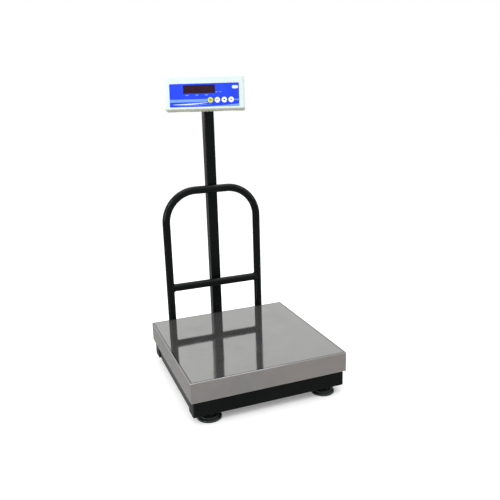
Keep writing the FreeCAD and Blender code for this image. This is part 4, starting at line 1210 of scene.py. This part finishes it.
def build_display():
    """Display filter with seven-segment digits on the module behind it."""
    size = sizes()
    low, high = head_box("display_window")
    pane = add_box("display_filter", low, high)
    soften(pane, 0.0003)
    dress(moved(pane, HEAD), window, "indicator", "display_window")

    refine("display_module", "led_module", plastic, "indicator", 0.0003)
    front, centre = head_box("led_module")[0].y, middle(low, high)
    tall, wide, thick = size.digit_height, 0.55 * size.digit_height, 0.1 * size.digit_height
    bars = []
    for number in range(6):
        across = centre.x + (number - 2.5) * size.digit_pitch
        for side in (-1, 1):
            for up in (-1, 1):
                bars.append(segment(across + side * wide / 2, centre.z + up * tall / 4, thick, tall / 2, front))
        for up in (-1, 0, 1):
            bars.append(segment(across, centre.z + up * tall / 2, wide, thick, front))
    dress(moved(join("display_digits", *bars), HEAD), digit, "indicator")


def segment(across, up, wide, tall, front):
    """One bar of a digit: a long hexagon, upright or lying."""
    half_wide, half_tall = wide / 2 - 0.0003, tall / 2 - 0.0003
    point = min(half_wide, half_tall)
    if tall > wide:
        shape = [(-point, point - half_tall), (0, -half_tall), (point, point - half_tall),
                 (point, half_tall - point), (0, half_tall), (-point, half_tall - point)]
    else:
        shape = [(-half_wide, 0), (point - half_wide, -point), (half_wide - point, -point), (half_wide, 0),
                 (half_wide - point, point), (point - half_wide, point)]
    return slab("segment", [(across + x, up + y) for x, y in shape], front - 0.00015, front + 0.00005)


def build_keys():
    """Domed key caps, each with a printed mark."""
    for key in KEYS:
        low, high = head_box(f"key_{key}")
        centre = middle(low, high)
        flange, tall = (high.x - low.x) / 2, high.y - low.y
        cap = flange - 1.3 * MM
        profile = [(0, 0), (flange - 1.5 * MM, 0), (flange - 1.3 * MM, 0.0003), (flange - 1.3 * MM, 0.0006),
                   (flange, 0.0006), (flange, 0.0016), (cap, 0.0016), (cap, tall - 0.0008),
                   (cap - 0.0003, tall - 0.0003), (cap - 0.0008, tall - 0.00005), (cap - 0.0014, tall),
                   (cap - 0.0020, tall - 0.0001), (cap - 0.0027, tall - 0.0003), (0, tall - 0.00035)]
        base = HEAD @ Vector((centre.x, high.y, centre.z))
        piece = turned(f"{key}_key_cap", profile, base, HEAD.to_3x3() @ -Y, 56)
        dress(piece, yellow_key if key == "zero" else white_key, f"button_{key}", f"key_{key}")
    places = {key: (across / MM, up / MM) for key, (across, up) in key_places().items()}
    front = head_box("key_zero")[0].y + 0.00035
    marks = {
        "zero": rounded(*places["zero"], 6.2, 6.2, 3.05, 8),
        "tare": rounded(*places["tare"], 8.2, 1.5, 0.6),
        "mode": rounded(*places["mode"], 4.0, 4.0, 1.95, 8),
        "total": rounded(*places["total"], 4.6, 2.6, 1.2, 8),
    }
    for key, outline in marks.items():
        print_area(f"{key}_key_mark", outline, olive_mark if key == "zero" else key_mark, f"button_{key}", front)


# ---------------------------------------------------------------- back panel and inside

def build_back_panel():
    """Cable gland, power inlet and rocker switch."""
    edge = sizes().soft_edge
    refine("gland_body", "cable_gland", plastic, "indicator")
    refine("inlet_socket", "power_inlet", plastic, "indicator", 0.6 * edge)
    refine("switch_surround", "switch_frame", plastic, "indicator")
    refine("rocker_cap", "power_rocker", plastic, "rocker", 0.8 * edge)


def build_inside():
    """Boards, battery and buzzer inside the housing."""
    refine("circuit_board", "main_board", board, "indicator", 0.0002)
    refine("battery_block", "battery", battery_case, "indicator", 0.0012)
    refine("buzzer_can", "buzzer", plastic, "indicator", 0.0004)


def build_lead():
    """Short lead from the pole's cap up into the gland."""
    pivot = HEAD.translation
    gland = head_box("cable_gland")
    end = HEAD @ Vector((middle(*gland).x, gland[1].y - 0.002, middle(*gland).z))
    start = Vector((pivot.x, pivot.y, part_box("head_lead")[0].z))
    level = Vector((start.x, start.y, end.z))
    route = [start, start.lerp(level, 0.35), start.lerp(level, 0.75),
             level.lerp(end, 0.3), level.lerp(end, 0.7), end]
    lead, line = round_line("indicator_lead", "NURBS", route, 0.0025, 6)
    lead.data.resolution_u = 24
    line.order_u = 3
    line.use_endpoint_u = True
    lead = meshed(lead)
    bpy.ops.object.shade_smooth()
    lead.data.materials.append(finish(jacket))
    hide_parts("head_lead")
    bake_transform(lead)


# ---------------------------------------------------------------- camera and studio

def area_light(name, spot, target, size, energy):
    light = bpy.data.lights.new(name, "AREA")
    light.shape = "RECTANGLE"
    light.size, light.size_y = size
    light.energy = energy
    lamp = linked(name, light)
    lamp.location = spot
    lamp.rotation_euler = (Vector(target) - Vector(spot)).to_track_quat("-Z", "Y").to_euler()


def build_studio():
    """Camera, pale floor, white surroundings and soft lights."""
    scene = bpy.context.scene
    lens = bpy.data.cameras.new("camera")
    lens.lens = 41.69
    lens.sensor_width = 36
    camera = linked("camera", lens)
    camera.location = (-0.486, -1.377, 0.732)
    camera.rotation_euler = [math.radians(angle) for angle in (74.914, 1.583, -21.407)]
    scene.camera = camera
    scene.view_settings.view_transform = "Standard"

    world = bpy.data.worlds.new("studio")
    scene.world = world
    world.use_nodes = True
    nodes = Nodes(world.node_tree)
    facing = nodes.add("SeparateXYZ", Vector=nodes.add("TexCoord").outputs["Generated"])
    backdrop = nodes.blend(nodes.remap(facing.outputs["Y"], -0.5, 0.1), (0.4, 0.4, 0.4), (1, 1, 1))
    room = nodes.blend(nodes.remap(facing.outputs["Z"], 0.3, 0.8), backdrop, (1.05, 1.05, 1.05))
    ground = nodes.blend(nodes.remap(facing.outputs["Z"], 0.0, -0.06), room, (0.36, 0.36, 0.36))
    seen = nodes.add("LightPath").outputs["Is Camera Ray"]
    nodes.feed(world.node_tree.nodes["Background"].inputs["Color"], nodes.blend(seen, ground, (1, 1, 1)))

    bpy.ops.mesh.primitive_circle_add(vertices=96, radius=9, fill_type="NGON")
    floor = named(settle(), "floor")
    floor.data.materials.append(finish(studio_floor))
    floor.visible_glossy = False
    area_light("strip_left", (-1.7, -0.5, 1.1), (0, 0.1, 0.4), (0.06, 1.7), 16)
    area_light("strip_right", (1.6, -0.9, 1.3), (0, 0.1, 0.4), (0.07, 1.5), 6)
    area_light("top_light", (0.0, 0.6, 2.6), (0, 0, 0.0), (2.2, 2.2), 22)


# ---------------------------------------------------------------- operators and panel

class BuildStep:
    """What every step of the build has in common: it calls its own builders."""
    bl_options = {"REGISTER"}
    builders = ()

    def execute(self, context):
        for builder in self.builders:
            builder()
        return {"FINISHED"}


class SCALE_OT_studio(BuildStep, bpy.types.Operator):
    """Add the camera, the floor and the lights"""
    bl_idname = "platform_scale.studio"
    bl_label = "Camera and Studio"
    builders = (build_studio,)


class SCALE_OT_base_frame(BuildStep, bpy.types.Operator):
    """Finish the base frame and add its welds"""
    bl_idname = "platform_scale.base_frame"
    bl_label = "Base Frame"
    builders = (build_base_frame,)


class SCALE_OT_feet(BuildStep, bpy.types.Operator):
    """Build the levelling feet with their studs and nuts"""
    bl_idname = "platform_scale.feet"
    bl_label = "Levelling Feet"
    builders = (build_feet,)


class SCALE_OT_load_cell(BuildStep, bpy.types.Operator):
    """Build the load cell, the live frame and the overload stops"""
    bl_idname = "platform_scale.load_cell"
    bl_label = "Load Cell"
    builders = (build_load_cell,)


class SCALE_OT_pan(BuildStep, bpy.types.Operator):
    """Build the stainless pan"""
    bl_idname = "platform_scale.pan"
    bl_label = "Pan"
    builders = (build_pan,)


class SCALE_OT_guard_rail(BuildStep, bpy.types.Operator):
    """Build the guard rail and its sockets"""
    bl_idname = "platform_scale.guard_rail"
    bl_label = "Guard Rail"
    builders = (build_guard_rail,)


class SCALE_OT_pole(BuildStep, bpy.types.Operator):
    """Finish the pole and build its clamp, cap and bolts"""
    bl_idname = "platform_scale.pole"
    bl_label = "Pole"
    builders = (build_pole,)


class SCALE_OT_yoke(BuildStep, bpy.types.Operator):
    """Build the swivel fork, the tilt plate and the knob"""
    bl_idname = "platform_scale.yoke"
    bl_label = "Yoke and Knob"
    builders = (build_yoke,)


class SCALE_OT_housing(BuildStep, bpy.types.Operator):
    """Build both halves of the indicator's housing and their screws"""
    bl_idname = "platform_scale.housing"
    bl_label = "Housing"
    builders = (build_front_frame, build_rear_shell, build_case_screws)


class SCALE_OT_face(BuildStep, bpy.types.Operator):
    """Build the printed film, the display and the keys"""
    bl_idname = "platform_scale.face"
    bl_label = "Printed Face"
    builders = (build_film, build_print, build_display, build_keys)


class SCALE_OT_back_panel(BuildStep, bpy.types.Operator):
    """Build the gland, the power inlet and the switch"""
    bl_idname = "platform_scale.back_panel"
    bl_label = "Back Panel"
    builders = (build_back_panel,)


class SCALE_OT_inside(BuildStep, bpy.types.Operator):
    """Build the boards, the battery and the buzzer"""
    bl_idname = "platform_scale.inside"
    bl_label = "Inside"
    builders = (build_inside,)


class SCALE_OT_lead(BuildStep, bpy.types.Operator):
    """Build the lead between pole and indicator"""
    bl_idname = "platform_scale.lead"
    bl_label = "Indicator Lead"
    builders = (build_lead,)


STEPS = (SCALE_OT_studio, SCALE_OT_base_frame, SCALE_OT_feet, SCALE_OT_load_cell, SCALE_OT_pan,
         SCALE_OT_guard_rail, SCALE_OT_pole, SCALE_OT_yoke, SCALE_OT_housing, SCALE_OT_face,
         SCALE_OT_back_panel, SCALE_OT_inside, SCALE_OT_lead)


class SCALE_PT_build(bpy.types.Panel):
    """Steps of the build with the sizes and colours that they use"""
    bl_idname = "SCALE_PT_build"
    bl_label = "Platform Scale"
    bl_space_type = "VIEW_3D"
    bl_region_type = "UI"
    bl_category = "Scale"

    def draw(self, context):
        for step in STEPS:
            self.layout.operator(step.bl_idname)
        for settings in (context.scene.scale_sizes, context.scene.scale_colours):
            column = self.layout.column()
            for name in settings.__annotations__:
                column.prop(settings, name)


CLASSES = (ScaleSizes, ScaleColours, *STEPS, SCALE_PT_build)


def register():
    for entry in CLASSES:
        bpy.utils.register_class(entry)
    bpy.types.Scene.scale_sizes = bpy.props.PointerProperty(type=ScaleSizes)
    bpy.types.Scene.scale_colours = bpy.props.PointerProperty(type=ScaleColours)


def unregister():
    del bpy.types.Scene.scale_colours
    del bpy.types.Scene.scale_sizes
    for entry in reversed(CLASSES):
        bpy.utils.unregister_class(entry)


def main():
    register()
    for step in STEPS:
        family, name = step.bl_idname.split(".")
        getattr(getattr(bpy.ops, family), name)()


if __name__ == "__main__":
    main()
